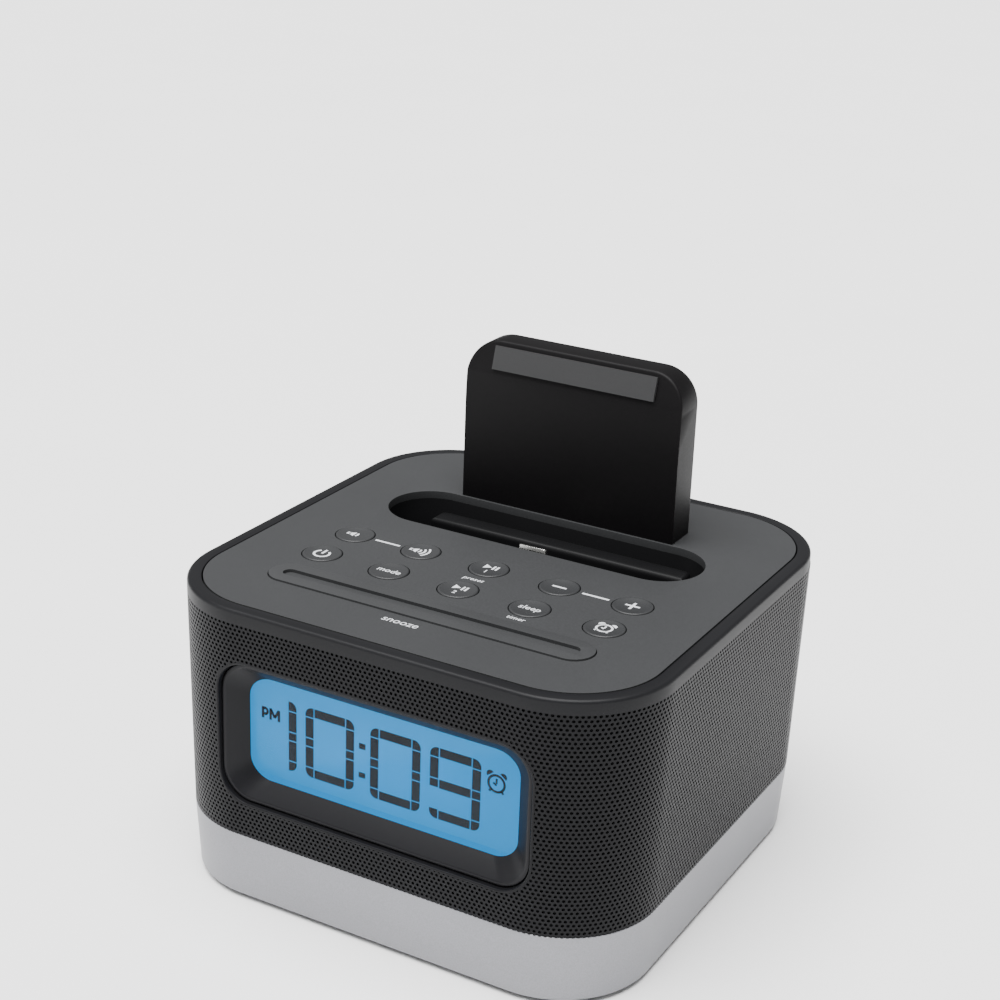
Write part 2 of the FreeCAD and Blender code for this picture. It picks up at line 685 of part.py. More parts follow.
def make_dock_cradle():
    body = make_body("dock_cradle")
    half, width, wall = size["slot_length"] / 2, size["slot_width"], size["dock_wall"]
    sketch = sketch_on(body, "XY_Plane", size["dock_bottom"])
    add_stadium(sketch, zero, size["slot_y"], half + wall, width + wall * 2)
    pad(body, sketch, plate_bottom - size["dock_bottom"])
    sketch = sketch_on(body, "XY_Plane", size["well_floor"])
    add_stadium(sketch, zero, size["slot_y"], half, width)
    pocket(body, sketch, forward=True)
    back = size["slot_y"] + width / 2
    sketch = sketch_on(body, "XY_Plane", size["well_floor"])
    add_box(sketch, -size["ledge_half"], size["ledge_half"], size["ledge_front"], back + wall / 2)
    pad(body, sketch, size["ledge_top"] - size["well_floor"])
    ear_x = size["boot_width"] / 2 + size["ear_gap"]
    sketch = sketch_on(body, "XY_Plane", size["dock_bottom"])
    for inner, outer in ((-ear_x - size["ear_thick"], -ear_x), (ear_x, ear_x + size["ear_thick"])):
        add_box(sketch, inner, outer, size["window_front"] + size["ear_gap"],
                size["window_back"] - size["ear_gap"])
    pad(body, sketch, size["dock_bottom"] - size["ear_bottom"], down=True)
    sketch = sketch_on(body, "XY_Plane", size["dock_bottom"])
    add_box(sketch, -size["boot_window"], size["boot_window"], size["window_front"],
            size["window_back"])
    pocket(body, sketch, forward=True, length=size["well_floor"] - size["dock_bottom"] + 1)
    sketch = sketch_on(body, "YZ_Plane", -size["slot_length"] / 2)
    add_circle(sketch, size["pivot_y"], size["pivot_z"],
               size["trunnion_radius"] + size["trunnion_fit"])
    pocket(body, sketch, forward=True)


def make_connector():
    """Boot and metal tab, square in their own frame and leaned back about the pivot."""
    lean = Rotation(Vector(1, 0, 0), -number(size["lean"]))
    boot = make_body("connector_boot")
    half, deep = size["boot_width"] / 2, size["boot_thick"] / 2
    sketch = sketch_on(boot, "XY_Plane", -size["boot_below"])
    add_box(sketch, -half, half, -deep, deep)
    pad(boot, sketch, size["boot_above"] + size["boot_below"])
    sketch = sketch_on(boot, "YZ_Plane")
    add_circle(sketch, zero, zero, size["trunnion_radius"])
    pad(boot, sketch, (half + size["ear_gap"] + size["ear_thick"]) * 2, both=True)
    tab = make_body("dock_connector")
    sketch = sketch_on(tab, "XY_Plane", size["boot_above"])
    add_rounded(sketch, zero, zero, size["tab_width"], size["tab_thick"], size["tab_corner"])
    pad(tab, sketch, size["tab_length"])
    for item in (boot, tab):
        item.Placement = Placement(Vector(), lean)
        place(item, y=size["pivot_y"], z=size["pivot_z"])


def make_phone_rest():
    body = make_body("phone_rest")
    sketch = sketch_on(body, "YZ_Plane")
    back = size["rest_back"]
    add_polygon(sketch, [
        (size["rest_front"], top), (back, top), (back, top + size["rest_height"]),
        (size["rest_front"] + size["rest_lean"], top + size["rest_height"]),
        (size["rest_front"], top + size["rest_bend"])])
    pad(body, sketch, size["rest_half"] * 2, both=True)
    edge_x, edge_z = number(size["rest_half"]), number(top + size["rest_height"])
    round_edges(body, size["rest_corner"], lambda edge, middle: (
        abs(abs(middle.x) - edge_x) < near and abs(middle.z - edge_z) < near))
    rear = number(back)
    base = number(top)
    round_edges(body, size["rest_edge"], lambda edge, middle: (
        abs(middle.y - rear) < near and middle.z > base + 0.1))
    slope = math.degrees(math.atan2(driving["rest_lean"],
                                    driving["rest_height"] - driving["rest_bend"]))
    rubber = block("rest_pad", -size["pad_width"] / 2, zero, zero, size["pad_width"],
                   size["pad_thick"], size["pad_height"])
    rubber.Placement = Placement(Vector(), Rotation(Vector(1, 0, 0), -slope))
    start = number(size["pad_start"])
    shift_y = start * math.sin(math.radians(slope)) - number(size["pad_thick"]) * math.cos(
        math.radians(slope))
    shift_z = start * math.cos(math.radians(slope)) + number(size["pad_thick"]) * math.sin(
        math.radians(slope))
    place(rubber, -size["pad_width"] / 2, size["rest_front"] + shift_y,
          top + size["rest_bend"] + shift_z)


# ---- display --------------------------------------------------------------

def make_display():
    bezel = make_body("display_bezel")
    level = size["bezel_z"]
    depth = size["bezel_front"] - size["bezel_back"]
    sketch = sketch_on(bezel, "XZ_Plane", size["bezel_back"])
    add_rounded(sketch, zero, level, size["bezel_width"], size["bezel_height"],
                size["bezel_corner"])
    pad(bezel, sketch, depth)
    lip = size["bezel_lip"] * 2
    mouth = sketch_on(bezel, "XZ_Plane", size["bezel_front"])
    add_rounded(mouth, zero, level, size["bezel_width"] - lip, size["bezel_height"] - lip,
                size["bezel_corner"] - size["bezel_lip"])
    view = sketch_on(bezel, "XZ_Plane", size["bezel_back"])
    add_rounded(view, zero, level, size["view_width"], size["view_height"], size["view_corner"])
    funnel = bezel.newObject("PartDesign::SubtractiveLoft", "display_funnel")
    funnel.Profile = mouth
    funnel.Sections = [view]
    funnel.Ruled = True
    layers = (("display_window", size["window_width"], size["window_height"],
               size["window_thick"]),
              ("lcd_panel", size["lcd_width"], size["lcd_height"], size["lcd_thick"]),
              ("backlight", size["lcd_width"], size["lcd_height"], size["backlight_thick"]),
              ("display_board", size["logic_width"], size["logic_height"],
               size["board_thick"]))
    front = -size["bezel_back"]
    for name, width, height, thick in layers:
        block(name, -width / 2, front, level - height / 2, width, thick, height)
        front = front + thick
    low = level - size["logic_height"] / 2 + size["ribbon_overlap"]
    block("display_ribbon", -size["ribbon_width"] / 2, front, main_top, size["ribbon_width"],
          size["ribbon_thick"], low - main_top)


# ---- loudspeakers ---------------------------------------------------------

def make_speaker(side_name, side):
    """Driver modelled facing up its own Z, then turned to face left or right."""
    flange, inner = size["frame_radius"], size["cone_radius"]
    wall, coil = size["basket_wall"], size["coil_radius"]
    deep, magnet = size["basket_depth"], size["magnet_radius"]
    neck, fold = magnet - size["basket_neck"], size["cone_fold"]
    cap, paper = size["dust_cap"], size["paper"]
    throat = coil + size["basket_neck"]
    basket = revolve(side_name + "_speaker_frame", [
        (inner, zero), (inner, -size["frame_thick"]), (neck, wall - deep),
        (throat, wall - deep), (throat, -deep), (neck + wall, -deep),
        (inner + wall, -size["frame_thick"]), (flange, -size["frame_thick"]), (flange, zero)])
    cone = revolve(side_name + "_speaker_cone", [
        (inner, -paper), (inner - fold, -paper / 2), (coil, -size["cone_depth"]),
        (zero, cap - size["cone_depth"]), (zero, cap - size["cone_depth"] - paper),
        (coil, -size["cone_depth"] - paper), (inner - fold, -paper * 1.5)])
    magnet_body = revolve(side_name + "_speaker_magnet", [
        (zero, -deep - size["magnet_height"]), (magnet, -deep - size["magnet_height"]),
        (magnet, -deep), (zero, -deep)])
    facing = Rotation(Vector(0, 1, 0), 90 * side)
    for item in (basket, cone, magnet_body):
        item.Placement = Placement(Vector(), facing)
        place(item, size["cavity_half"] * side, size["speaker_y"], size["speaker_z"])


# ---- main board and rear panel --------------------------------------------

def make_main_board():
    width = size["main_half"] * 2
    block("main_board", -size["main_half"], size["main_front"], size["main_z"], width,
          size["main_back"] - size["main_front"], size["board_thick"])
    block("main_chip", size["chip_x"], size["chip_y"], main_top, size["chip_side"],
          size["chip_side"], size["chip_height"])
    block("tuner_can", size["tuner_x"], size["tuner_y"], main_top, size["tuner_width"],
          size["tuner_depth"], size["tuner_height"])
    cans = []
    for x in (size["can_left"], size["can_right"]):
        for y in (size["can_front"], size["can_back"]):
            cans.append(rod("can", x, y, main_top, size["can_radius"], size["can_height"],
                            keep=False))
    collect("capacitors", cans)


def jack_box(name, x, width, height):
    """Solid body of a socket, standing on the board and reaching the cover's inner face."""
    return block(name, x - width / 2, size["jack_front"], main_top, width,
                 size["chassis_half"] - size["jack_front"],
                 size["jack_z"] + height / 2 - main_top, keep=False)


def make_jacks():
    backward = Rotation(Vector(1, 0, 0), -90)
    level = size["jack_z"]
    reach = size["chassis_half"] - size["jack_front"]
    for name, x, side, bore in (("power", size["power_x"], size["power_size"], size["power_bore"]),
                                ("audio", size["audio_x"], size["audio_size"],
                                 size["audio_bore"])):
        shell = jack_box(name + "_shell", x, side, side)
        hole = rod(name + "_hole", x, size["jack_front"] + size["jack_floor"], level, bore,
                   reach, keep=False, turn=backward)
        if name == "power":
            pin = rod("power_pin", x, size["jack_front"] + size["pin_root"], level,
                      size["power_pin"], reach - size["pin_short"], keep=False, turn=backward)
            hollow = cut("power_socket", shell, hole)
            del groups["power_socket"]
            fuse("power_jack", [hollow, pin])
        else:
            cut(name + "_jack", shell, hole)
    make_usb_port(level)
    make_gland(level, backward)


def make_usb_port(level):
    wall, x = size["usb_wall"], size["usb_x"]
    shell = jack_box("usb_shell", x, size["usb_width"], size["usb_height"])
    inner_width, inner_height = size["usb_width"] - wall * 2, size["usb_height"] - wall * 2
    hollow = block("usb_hollow", x - inner_width / 2, size["jack_front"] + size["usb_floor"],
                   level - inner_height / 2, inner_width, size["chassis_half"], inner_height,
                   keep=False)
    inset = size["tongue_inset"]
    tongue = block("usb_tongue", x - inner_width / 2 + inset,
                   size["jack_front"] + size["tongue_root"], level + size["tongue_rise"],
                   inner_width - inset * 2, size["tongue_length"], size["tongue_thick"],
                   keep=False)
    frame = cut("usb_frame", shell, hollow)
    del groups["usb_frame"]
    fuse("usb_port", [frame, tongue])


def make_gland(level, backward):
    """Grommet for the aerial wire, with a flange inside the cover."""
    start = size["chassis_half"] - size["gland_inside"]
    length, past = size["rim_half"] - start, size["gland_past"]
    stem = rod("gland_stem", size["gland_x"], start, level, size["gland_radius"], length,
               keep=False, turn=backward)
    lip = rod("gland_flange", size["gland_x"], size["chassis_half"] - size["gland_ring"], level,
              size["gland_lip"], size["gland_ring"], keep=False, turn=backward)
    hole = rod("gland_bore", size["gland_x"], start - past, level, size["gland_hole"],
               length + past * 2, keep=False, turn=backward)
    body = fuse("gland_body", [stem, lip], keep=False)
    cut("antenna_gland", body, hole)


def make_slide_switch():
    """Switch body on the board's edge, with a sliding knob that shows through the cover."""
    width = size["knob_width"] + size["knob_travel"] * 2 + size["slide_side"] * 2
    level, x, skin = size["jack_z"], size["knob_x"], size["chassis_half"]
    half = size["knob_height"] / 2
    block("slide_switch", x - width / 2, skin - size["slide_setback"], main_top, width,
          size["slide_depth"], level + half + size["slide_side"] - main_top)
    block("switch_knob", x - size["knob_width"] / 2, skin - size["knob_inset"], level - half,
          size["knob_width"], size["knob_length"], size["knob_height"])


def build_all():
    make_feet()
    make_base_band()
    make_bottom_cover()
    make_screws()
    make_battery_door()
    make_backup_battery()
    make_chassis()
    make_grille()
    make_rear_cover()
    make_top_rim()
    make_top_plate()
    for name, x, y in button_places():
        make_button(name, x, y)
    make_snooze_bar()
    make_button_board()
    make_dock_cradle()
    make_connector()
    make_phone_rest()
    make_display()
    make_speaker("left", -1)
    make_speaker("right", 1)
    make_main_board()
    make_jacks()
    make_slide_switch()
    doc.recompute()


def check_all():
    """Stop with a message if any object failed or a cut removed nothing."""
    for item in doc.Objects:
        if "Invalid" in item.State or "Error" in item.State:
            raise RuntimeError(item.Name + " is " + str(item.State))
        if item.TypeId == "PartDesign::Pocket":
            before = item.BaseFeature.Shape.Volume
            if item.Shape.Volume > before - 0.01:
                raise RuntimeError(item.Name + " cuts nothing")
    for name, item in groups.items():
        shape = item.Shape
        if shape.isNull() or not shape.isValid() or not shape.Solids:
            raise RuntimeError(name + " has no valid solid")


def write_all():
    os.makedirs("parts", exist_ok=True)
    for name, item in sorted(groups.items()):
        item.Shape.exportStep("parts/" + name + ".step")
        box = item.Shape.BoundBox
        print("%-24s %2d solid(s) %9.1f mm3  z %6.2f to %6.2f" % (
            name, len(item.Shape.Solids), item.Shape.Volume, box.ZMin, box.ZMax))


build_all()
check_all()
write_all()
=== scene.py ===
import bpy
import bmesh
import math
from mathutils import Matrix, Vector


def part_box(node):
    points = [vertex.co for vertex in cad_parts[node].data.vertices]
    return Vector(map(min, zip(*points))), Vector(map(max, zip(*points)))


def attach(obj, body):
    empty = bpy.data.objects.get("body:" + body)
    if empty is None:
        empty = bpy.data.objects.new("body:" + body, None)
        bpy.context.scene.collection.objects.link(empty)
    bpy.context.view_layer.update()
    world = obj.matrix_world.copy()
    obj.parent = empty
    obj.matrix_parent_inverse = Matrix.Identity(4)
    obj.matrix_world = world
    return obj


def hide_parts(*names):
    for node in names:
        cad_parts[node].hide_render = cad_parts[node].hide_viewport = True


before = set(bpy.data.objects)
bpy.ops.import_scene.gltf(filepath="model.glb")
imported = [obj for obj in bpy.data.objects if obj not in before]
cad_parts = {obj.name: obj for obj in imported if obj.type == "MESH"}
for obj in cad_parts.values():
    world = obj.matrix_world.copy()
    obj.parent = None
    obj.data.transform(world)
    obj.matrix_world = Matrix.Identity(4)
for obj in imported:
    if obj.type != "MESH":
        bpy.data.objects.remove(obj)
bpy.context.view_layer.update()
mm = 0.001
past = 1  # how far a cutter runs past a surface
case = "case"
madeMaterials = {}
print("frame loaded:", len(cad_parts), "nodes")


def addObject(name, data):
    item = bpy.data.objects.new(name, data)
    bpy.context.scene.collection.objects.link(item)
    return item


# long lens, from above and to the right; angles in degrees, places in millimetres
cameraSetup = {
    "lens": 71.08, "sensor": 36, "yaw": 28.91, "pitch": 21.42, "roll": 2.12,
    "distance": 448.5, "slide": -2.5, "lift": 73.6, "footHeight": 1.2,
    "shiftX": 0.0017, "shiftY": 0.0029,
}


def makeCamera(setup):
    yaw, pitch, roll = (math.radians(setup[k]) for k in ("yaw", "pitch", "roll"))
    back = Vector((math.sin(yaw) * math.cos(pitch), -math.cos(yaw) * math.cos(pitch),
                   math.sin(pitch)))
    right = Vector((math.cos(yaw), math.sin(yaw), 0))
    up = back.cross(right)
    place = back * setup["distance"] + right * setup["slide"] + up * setup["lift"]
    place.z += setup["footHeight"]
    turnedRight = right * math.cos(roll) + up * math.sin(roll)
    turnedUp = up * math.cos(roll) - right * math.sin(roll)
    data = bpy.data.cameras.new("camera")
    data.lens = setup["lens"]
    data.sensor_width = setup["sensor"]
    data.shift_x = setup["shiftX"]
    data.shift_y = setup["shiftY"]
    camera = addObject("camera", data)
    axes = Matrix((turnedRight, turnedUp, back)).transposed()
    camera.matrix_world = Matrix.Translation(place * mm) @ axes.to_4x4()
    bpy.context.scene.camera = camera


makeCamera(cameraSetup)


def startMaterial(name):
    material = bpy.data.materials.new(name)
    material.use_nodes = True
    madeMaterials[name] = material
    return material.node_tree, material.node_tree.nodes["Principled BSDF"]


def addNode(tree, kind, **values):
    node = tree.nodes.new(kind)
    for key, value in values.items():
        if hasattr(node, key):
            setattr(node, key, value)
        else:
            setInputs(node, **{key: value})
    return node


def setInputs(node, **values):
    for key, value in values.items():
        node.inputs[key.replace("_", " ")].default_value = value


# noise in the piece's own place; scale is in grains per millimetre
def objectNoise(tree, scale, detail=3.0):
    coords = addNode(tree, "ShaderNodeTexCoord")
    noise = addNode(tree, "ShaderNodeTexNoise", Scale=scale / mm, Detail=detail)
    tree.links.new(coords.outputs["Object"], noise.inputs["Vector"])
    return noise


def ramp(tree, source, stops):
    node = addNode(tree, "ShaderNodeValToRGB")
    elements = node.color_ramp.elements
    while len(elements) < len(stops):
        elements.new(0.5)
    for element, (position, color) in zip(elements, stops):
        element.position = position
        element.color = (*color, 1)
    tree.links.new(source, node.inputs["Fac"])
    return node


def remap(tree, source, low, high):
    node = addNode(tree, "ShaderNodeMapRange", To_Min=low, To_Max=high)
    tree.links.new(source, node.inputs["Value"])
    return node


# the colour sockets of a Mix node are inputs 6 and 7, and its colour result is output 2
def mixColors(tree, first, second, blend):
    node = addNode(tree, "ShaderNodeMix", data_type="RGBA", blend_type=blend)
    node.inputs[0].default_value = 1
    tree.links.new(first, node.inputs[6])
    tree.links.new(second, node.inputs[7])
    return node.outputs[2]


def scaled(color, factor):
    return tuple(c * factor for c in color)


# what a finish has unless it says otherwise
plain = {
    "mottleScale": 0.05, "mottle": 0.06, "grain": 3.0, "speck": 0.1, "roughSpread": 0.06,
    "bump": 0.25, "bumpDepth": 0.02, "metallic": 0, "specular": 0.5, "coat": 0,
    "coatRoughness": 0.1,
}


# moulded, painted or plated surface: slow mottling, and fine grain in bump and roughness
def surfaceFinish(name, own):
    look = {**plain, **own}
    tree, shader = startMaterial(name)
    mottle = objectNoise(tree, look["mottleScale"], detail=4)
    base = ramp(tree, mottle.outputs["Fac"], [(0.3, scaled(look["color"], 1 - look["mottle"])),
                                              (0.7, scaled(look["color"], 1 + look["mottle"]))])
    speck = objectNoise(tree, look["grain"], detail=2)
    tint = ramp(tree, speck.outputs["Fac"],
                [(0.35, (1 - look["speck"],) * 3), (0.65, (1.0,) * 3)])
    final = mixColors(tree, base.outputs["Color"], tint.outputs["Color"], "MULTIPLY")
    tree.links.new(final, shader.inputs["Base Color"])
    rough = remap(tree, speck.outputs["Fac"], look["roughness"] - look["roughSpread"],
                  look["roughness"] + look["roughSpread"])
    tree.links.new(rough.outputs["Result"], shader.inputs["Roughness"])
    bump = addNode(tree, "ShaderNodeBump", Strength=look["bump"],
                   Distance=look["bumpDepth"] * mm)
    tree.links.new(speck.outputs["Fac"], bump.inputs["Height"])
    tree.links.new(bump.outputs["Normal"], shader.inputs["Normal"])
    setInputs(shader, Metallic=look["metallic"], Specular_IOR_Level=look["specular"],
              Coat_Weight=look["coat"], Coat_Roughness=look["coatRoughness"])


finishes = {
    "softTouchGrey": {"color": (0.0290, 0.0298, 0.0312), "roughness": 0.55, "grain": 2.6,
                      "speck": 0.12, "bump": 0.30, "bumpDepth": 0.015, "mottle": 0.03,
                      "specular": 0.22},
    "rimGrey": {"color": (0.0085, 0.0086, 0.0096), "roughness": 0.42, "grain": 3.0,
                "speck": 0.08, "bump": 0.2, "bumpDepth": 0.01, "specular": 0.12},
    "grillePaint": {"color": (0.0072, 0.0072, 0.0082), "roughness": 0.42, "grain": 2.0,
                    "speck": 0.12, "bump": 0.2, "specular": 0.10},
    "silverSatin": {"color": (0.245, 0.246, 0.262), "roughness": 0.42, "grain": 3.5,
                    "speck": 0.14, "bump": 0.35, "bumpDepth": 0.012, "metallic": 0.7,
                    "mottle": 0.02},
    "blackTexture": {"color": (0.0120, 0.0120, 0.0130), "roughness": 0.50, "grain": 2.5,
                     "bump": 0.6, "bumpDepth": 0.03, "specular": 0.3},
    "bezelBlack": {"color": (0.0085, 0.0085, 0.0098), "roughness": 0.38, "grain": 3.0,
                   "speck": 0.06, "bump": 0.1, "specular": 0.12},
    "buttonGrey": {"color": (0.0235, 0.0242, 0.0255), "roughness": 0.45, "grain": 3.0,
                   "bump": 0.25, "bumpDepth": 0.01, "specular": 0.32},
    "barGrey": {"color": (0.0290, 0.0298, 0.0312), "roughness": 0.45, "grain": 3.0,
                "bump": 0.25, "bumpDepth": 0.01, "specular": 0.32},
    "printWhite": {"color": (0.60, 0.61, 0.63), "roughness": 0.55, "grain": 8.0,
                   "speck": 0.12, "bump": 0.1, "mottle": 0.08, "mottleScale": 0.6},
    "rubberBlack": {"color": (0.016, 0.016, 0.017), "roughness": 0.75, "grain": 1.5,
                    "bump": 0.5, "bumpDepth": 0.03},
    "boardGreen": {"color": (0.016, 0.12, 0.05), "roughness": 0.35, "grain": 1.0,
                   "mottle": 0.25, "mottleScale": 0.3, "coat": 0.4},
    "mouldedBlack": {"color": (0.0045, 0.0045, 0.0050), "roughness": 0.5, "grain": 4.0,
                     "bump": 0.3, "specular": 0.12},
    "tinnedSteel": {"color": (0.55, 0.55, 0.54), "roughness": 0.35, "metallic": 1.0,
                    "grain": 1.5, "mottle": 0.12, "mottleScale": 0.2, "bump": 0.2},
    "platedSteel": {"color": (0.62, 0.62, 0.60), "roughness": 0.2, "metallic": 1.0,
                    "grain": 2.0, "mottle": 0.04, "bump": 0.08},
    "springBrass": {"color": (0.70, 0.50, 0.22), "roughness": 0.28, "metallic": 1.0,
                    "grain": 2.0, "mottle": 0.08, "bump": 0.1},
    "paperCone": {"color": (0.025, 0.024, 0.023), "roughness": 0.85, "grain": 1.2,
                  "speck": 0.35, "bump": 0.8, "bumpDepth": 0.06},
    "ferrite": {"color": (0.06, 0.06, 0.062), "roughness": 0.55, "grain": 1.0,
                "mottle": 0.25, "mottleScale": 0.15, "bump": 0.4},
    "diffuserWhite": {"color": (0.75, 0.78, 0.80), "roughness": 0.5, "grain": 2.0,
                      "bump": 0.1},
    "segmentInk": {"color": (0.010, 0.013, 0.017), "roughness": 0.4, "grain": 3.0,
                   "bump": 0.05, "specular": 0.05},
    "restBlack": {"color": (0.0042, 0.0038, 0.0042), "roughness": 0.48, "grain": 2.6,
                  "bump": 0.3, "bumpDepth": 0.015, "specular": 0.1},
}
for finishName, finishLook in finishes.items():
    surfaceFinish(finishName, finishLook)

display = {
    "edgeBlue": (0.004, 0.300, 0.73), "middleBlue": (0.004, 0.370, 0.92), "glowLow": 0.97,
    "glowHigh": 1.05, "backing": (0.01, 0.02, 0.03), "roughness": 0.4, "specular": 0.05,
    "clearGlass": (0.96, 0.98, 1.0), "gloss": 0.008, "hazeLow": 0.03, "hazeHigh": 0.09,
}


# backlit panel: brightest in the middle, falling off to the edges, with faint mottling
def displayFinish():
    tree, shader = startMaterial("displayBlue")
    low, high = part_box("lcd_panel")
    middle, across = (low + high) / 2, high - low
    coords = addNode(tree, "ShaderNodeTexCoord")
    mapping = addNode(tree, "ShaderNodeMapping", Scale=(1 / across.x, 0, 1 / across.z),
                      Location=(-middle.x / across.x, 0, -middle.z / across.z))
    tree.links.new(coords.outputs["Object"], mapping.inputs["Vector"])
    glow = addNode(tree, "ShaderNodeTexGradient", gradient_type="SPHERICAL")
    tree.links.new(mapping.outputs["Vector"], glow.inputs["Vector"])
    color = ramp(tree, glow.outputs["Fac"],
                 [(0.25, display["edgeBlue"]), (0.85, display["middleBlue"])])
    mottle = objectNoise(tree, 0.25, detail=3)
    strength = remap(tree, mottle.outputs["Fac"], display["glowLow"], display["glowHigh"])
    tree.links.new(color.outputs["Color"], shader.inputs["Emission Color"])
    tree.links.new(strength.outputs["Result"], shader.inputs["Emission Strength"])
    setInputs(shader, Base_Color=(*display["backing"], 1), Roughness=display["roughness"],
              Specular_IOR_Level=display["specular"])


# clear plastic with faint haze; light passes straight through so the panel stays bright
def windowFinish():
    tree, shader = startMaterial("clearWindow")
    haze = objectNoise(tree, 0.3, detail=3)
    rough = remap(tree, haze.outputs["Fac"], display["hazeLow"], display["hazeHigh"])
    clear = addNode(tree, "ShaderNodeBsdfTransparent", Color=(*display["clearGlass"], 1))
    gloss = addNode(tree, "ShaderNodeBsdfGlossy")
    tree.links.new(rough.outputs["Result"], gloss.inputs["Roughness"])
    mix = addNode(tree, "ShaderNodeMixShader")
    mix.inputs[0].default_value = display["gloss"]
    tree.links.new(clear.outputs["BSDF"], mix.inputs[1])
    tree.links.new(gloss.outputs["BSDF"], mix.inputs[2])
    output = tree.nodes["Material Output"]
    tree.links.new(mix.outputs["Shader"], output.inputs["Surface"])
    tree.nodes.remove(shader)


displayFinish()
windowFinish()
print("finishes made:", len(madeMaterials))


def bevelEdges(bm, edges, radius, segments, clamp=False):
    bmesh.ops.bevel(bm, geom=edges, offset=radius, offset_type="OFFSET", affect="EDGES",
                    segments=segments, profile=0.5, material=-1, clamp_overlap=clamp)


# upright block with round vertical edges, all sizes in millimetres
def roundedPrism(width, depth, corner, low, high, centre=(0, 0), steps=20):
    bm = bmesh.new()
    bmesh.ops.create_cube(bm, size=1)
    bmesh.ops.scale(bm, vec=(width, depth, high - low), verts=bm.verts)
    bmesh.ops.translate(bm, vec=(centre[0], centre[1], (low + high) / 2), verts=bm.verts)
    if corner:
        upright = [e for e in bm.edges if abs(e.verts[0].co.z - e.verts[1].co.z) > 1e-6]
        bevelEdges(bm, upright, corner, steps)
        bmesh.ops.remove_doubles(bm, verts=bm.verts, dist=1e-4)
    return bm


# widens what stands at one level, for a draft
def growTop(bm, level, ratio):
    for v in bm.verts:
        if abs(v.co.z - level) < 1e-4:
            v.co.x *= ratio
            v.co.y *= ratio


def facesFacing(bm, direction, level=None):
    bm.normal_update()
    wanted = Vector(direction)
    return [f for f in bm.faces if f.normal.dot(wanted) > 0.99
            and (level is None or abs(f.calc_center_median().z - level) < 1e-3)]


# turns a block into an open ring with the given wall
def hollow(bm, wall):
    inner = facesFacing(bm, (0, 0, 1)) + facesFacing(bm, (0, 0, -1))
    for face in inner:
        bmesh.ops.inset_region(bm, faces=[face], thickness=wall, use_even_offset=True)
    loops = [e for f in inner for e in f.edges]
    bmesh.ops.delete(bm, geom=inner, context="FACES_ONLY")
    bmesh.ops.bridge_loops(bm, edges=[e for e in loops if e.is_valid])


def softenEdges(bm, radius, wanted, segments=3):
    edges = [e for e in bm.edges if len(e.link_faces) == 2 and wanted(e)]
    bevelEdges(bm, edges, radius, segments, True)


def atLevel(e, level, axis=2):
    return all(abs(v.co[axis] - level) < 1e-3 for v in e.verts)


def sharp(e, degrees=60):
    return e.calc_face_angle(0) > math.radians(degrees)


# the same for every sharp edge at one height
def softenLevel(bm, radius, level, segments=3):
    softenEdges(bm, radius, lambda e: atLevel(e, level) and sharp(e), segments)


# spins an outline of (radius, height) points round an upright axis
def turned(profile, steps=48, centre=(0, 0)):
    bm = bmesh.new()
    verts = [bm.verts.new((r, 0, z)) for r, z in profile]
    edges = [bm.edges.new(pair) for pair in zip(verts, verts[1:])]
    bmesh.ops.spin(bm, geom=verts + edges, cent=(0, 0, 0), axis=(0, 0, 1),
                   angle=2 * math.pi, steps=steps, use_merge=True, use_duplicate=False)
    bmesh.ops.translate(bm, vec=(centre[0], centre[1], 0), verts=bm.verts)
    return bm


def cylinder(radius, low, high, steps=24, centre=(0, 0)):
    return turned([(0, low), (radius, low), (radius, high), (0, high)], steps, centre)


# the points that an operator made
def vertsOf(made):
    return [v for v in made["geom"] if isinstance(v, bmesh.types.BMVert)]


def fourCorners(x, y):
    return [(side * x, end * y) for side in (-1, 1) for end in (-1, 1)]


def shiftAll(bm, offset):
    bmesh.ops.translate(bm, vec=offset, verts=bm.verts)
    return bm


def turnAll(bm, degrees, axis):
    bmesh.ops.rotate(bm, cent=(0, 0, 0),
                     matrix=Matrix.Rotation(math.radians(degrees), 3, axis), verts=bm.verts)
    return bm


# a shape drawn upright becomes one that faces the front: its height turns towards -Y
def faceFront(bm):
    return turnAll(bm, 90, "X")


# writes a bmesh in millimetres to a piece in metres that rides on a body
def finishPiece(name, bm, body, look, replaces=(), angle=30):
    bmesh.ops.remove_doubles(bm, verts=bm.verts, dist=1e-4)
    bmesh.ops.recalc_face_normals(bm, faces=bm.faces)
    writePiece(name, bm, body, look, replaces, angle)


# the same for a piece that takes the place of one CAD node and carries its name
def finishNode(node, bm, look, body=case, angle=30):
    finishPiece(pieceName(node), bm, body, look, [node], angle)


# play_button becomes playButton
def pieceName(node):
    words = node.split("_")
    return words[0] + "".join(word.capitalize() for word in words[1:])


# the same for a mesh whose faces already point the right way, or that is an open sheet
def writePiece(name, bm, body, look, replaces=(), angle=30):
    bmesh.ops.scale(bm, vec=(mm,) * 3, verts=bm.verts)
    data = bpy.data.meshes.new(name)
    bm.to_mesh(data)
    bm.free()
    data.shade_smooth()
    data.set_sharp_from_angle(angle=math.radians(angle))
    data.materials.append(madeMaterials[look])
    piece = addObject(name, data)
    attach(piece, body)
    if replaces:
        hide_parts(*replaces)


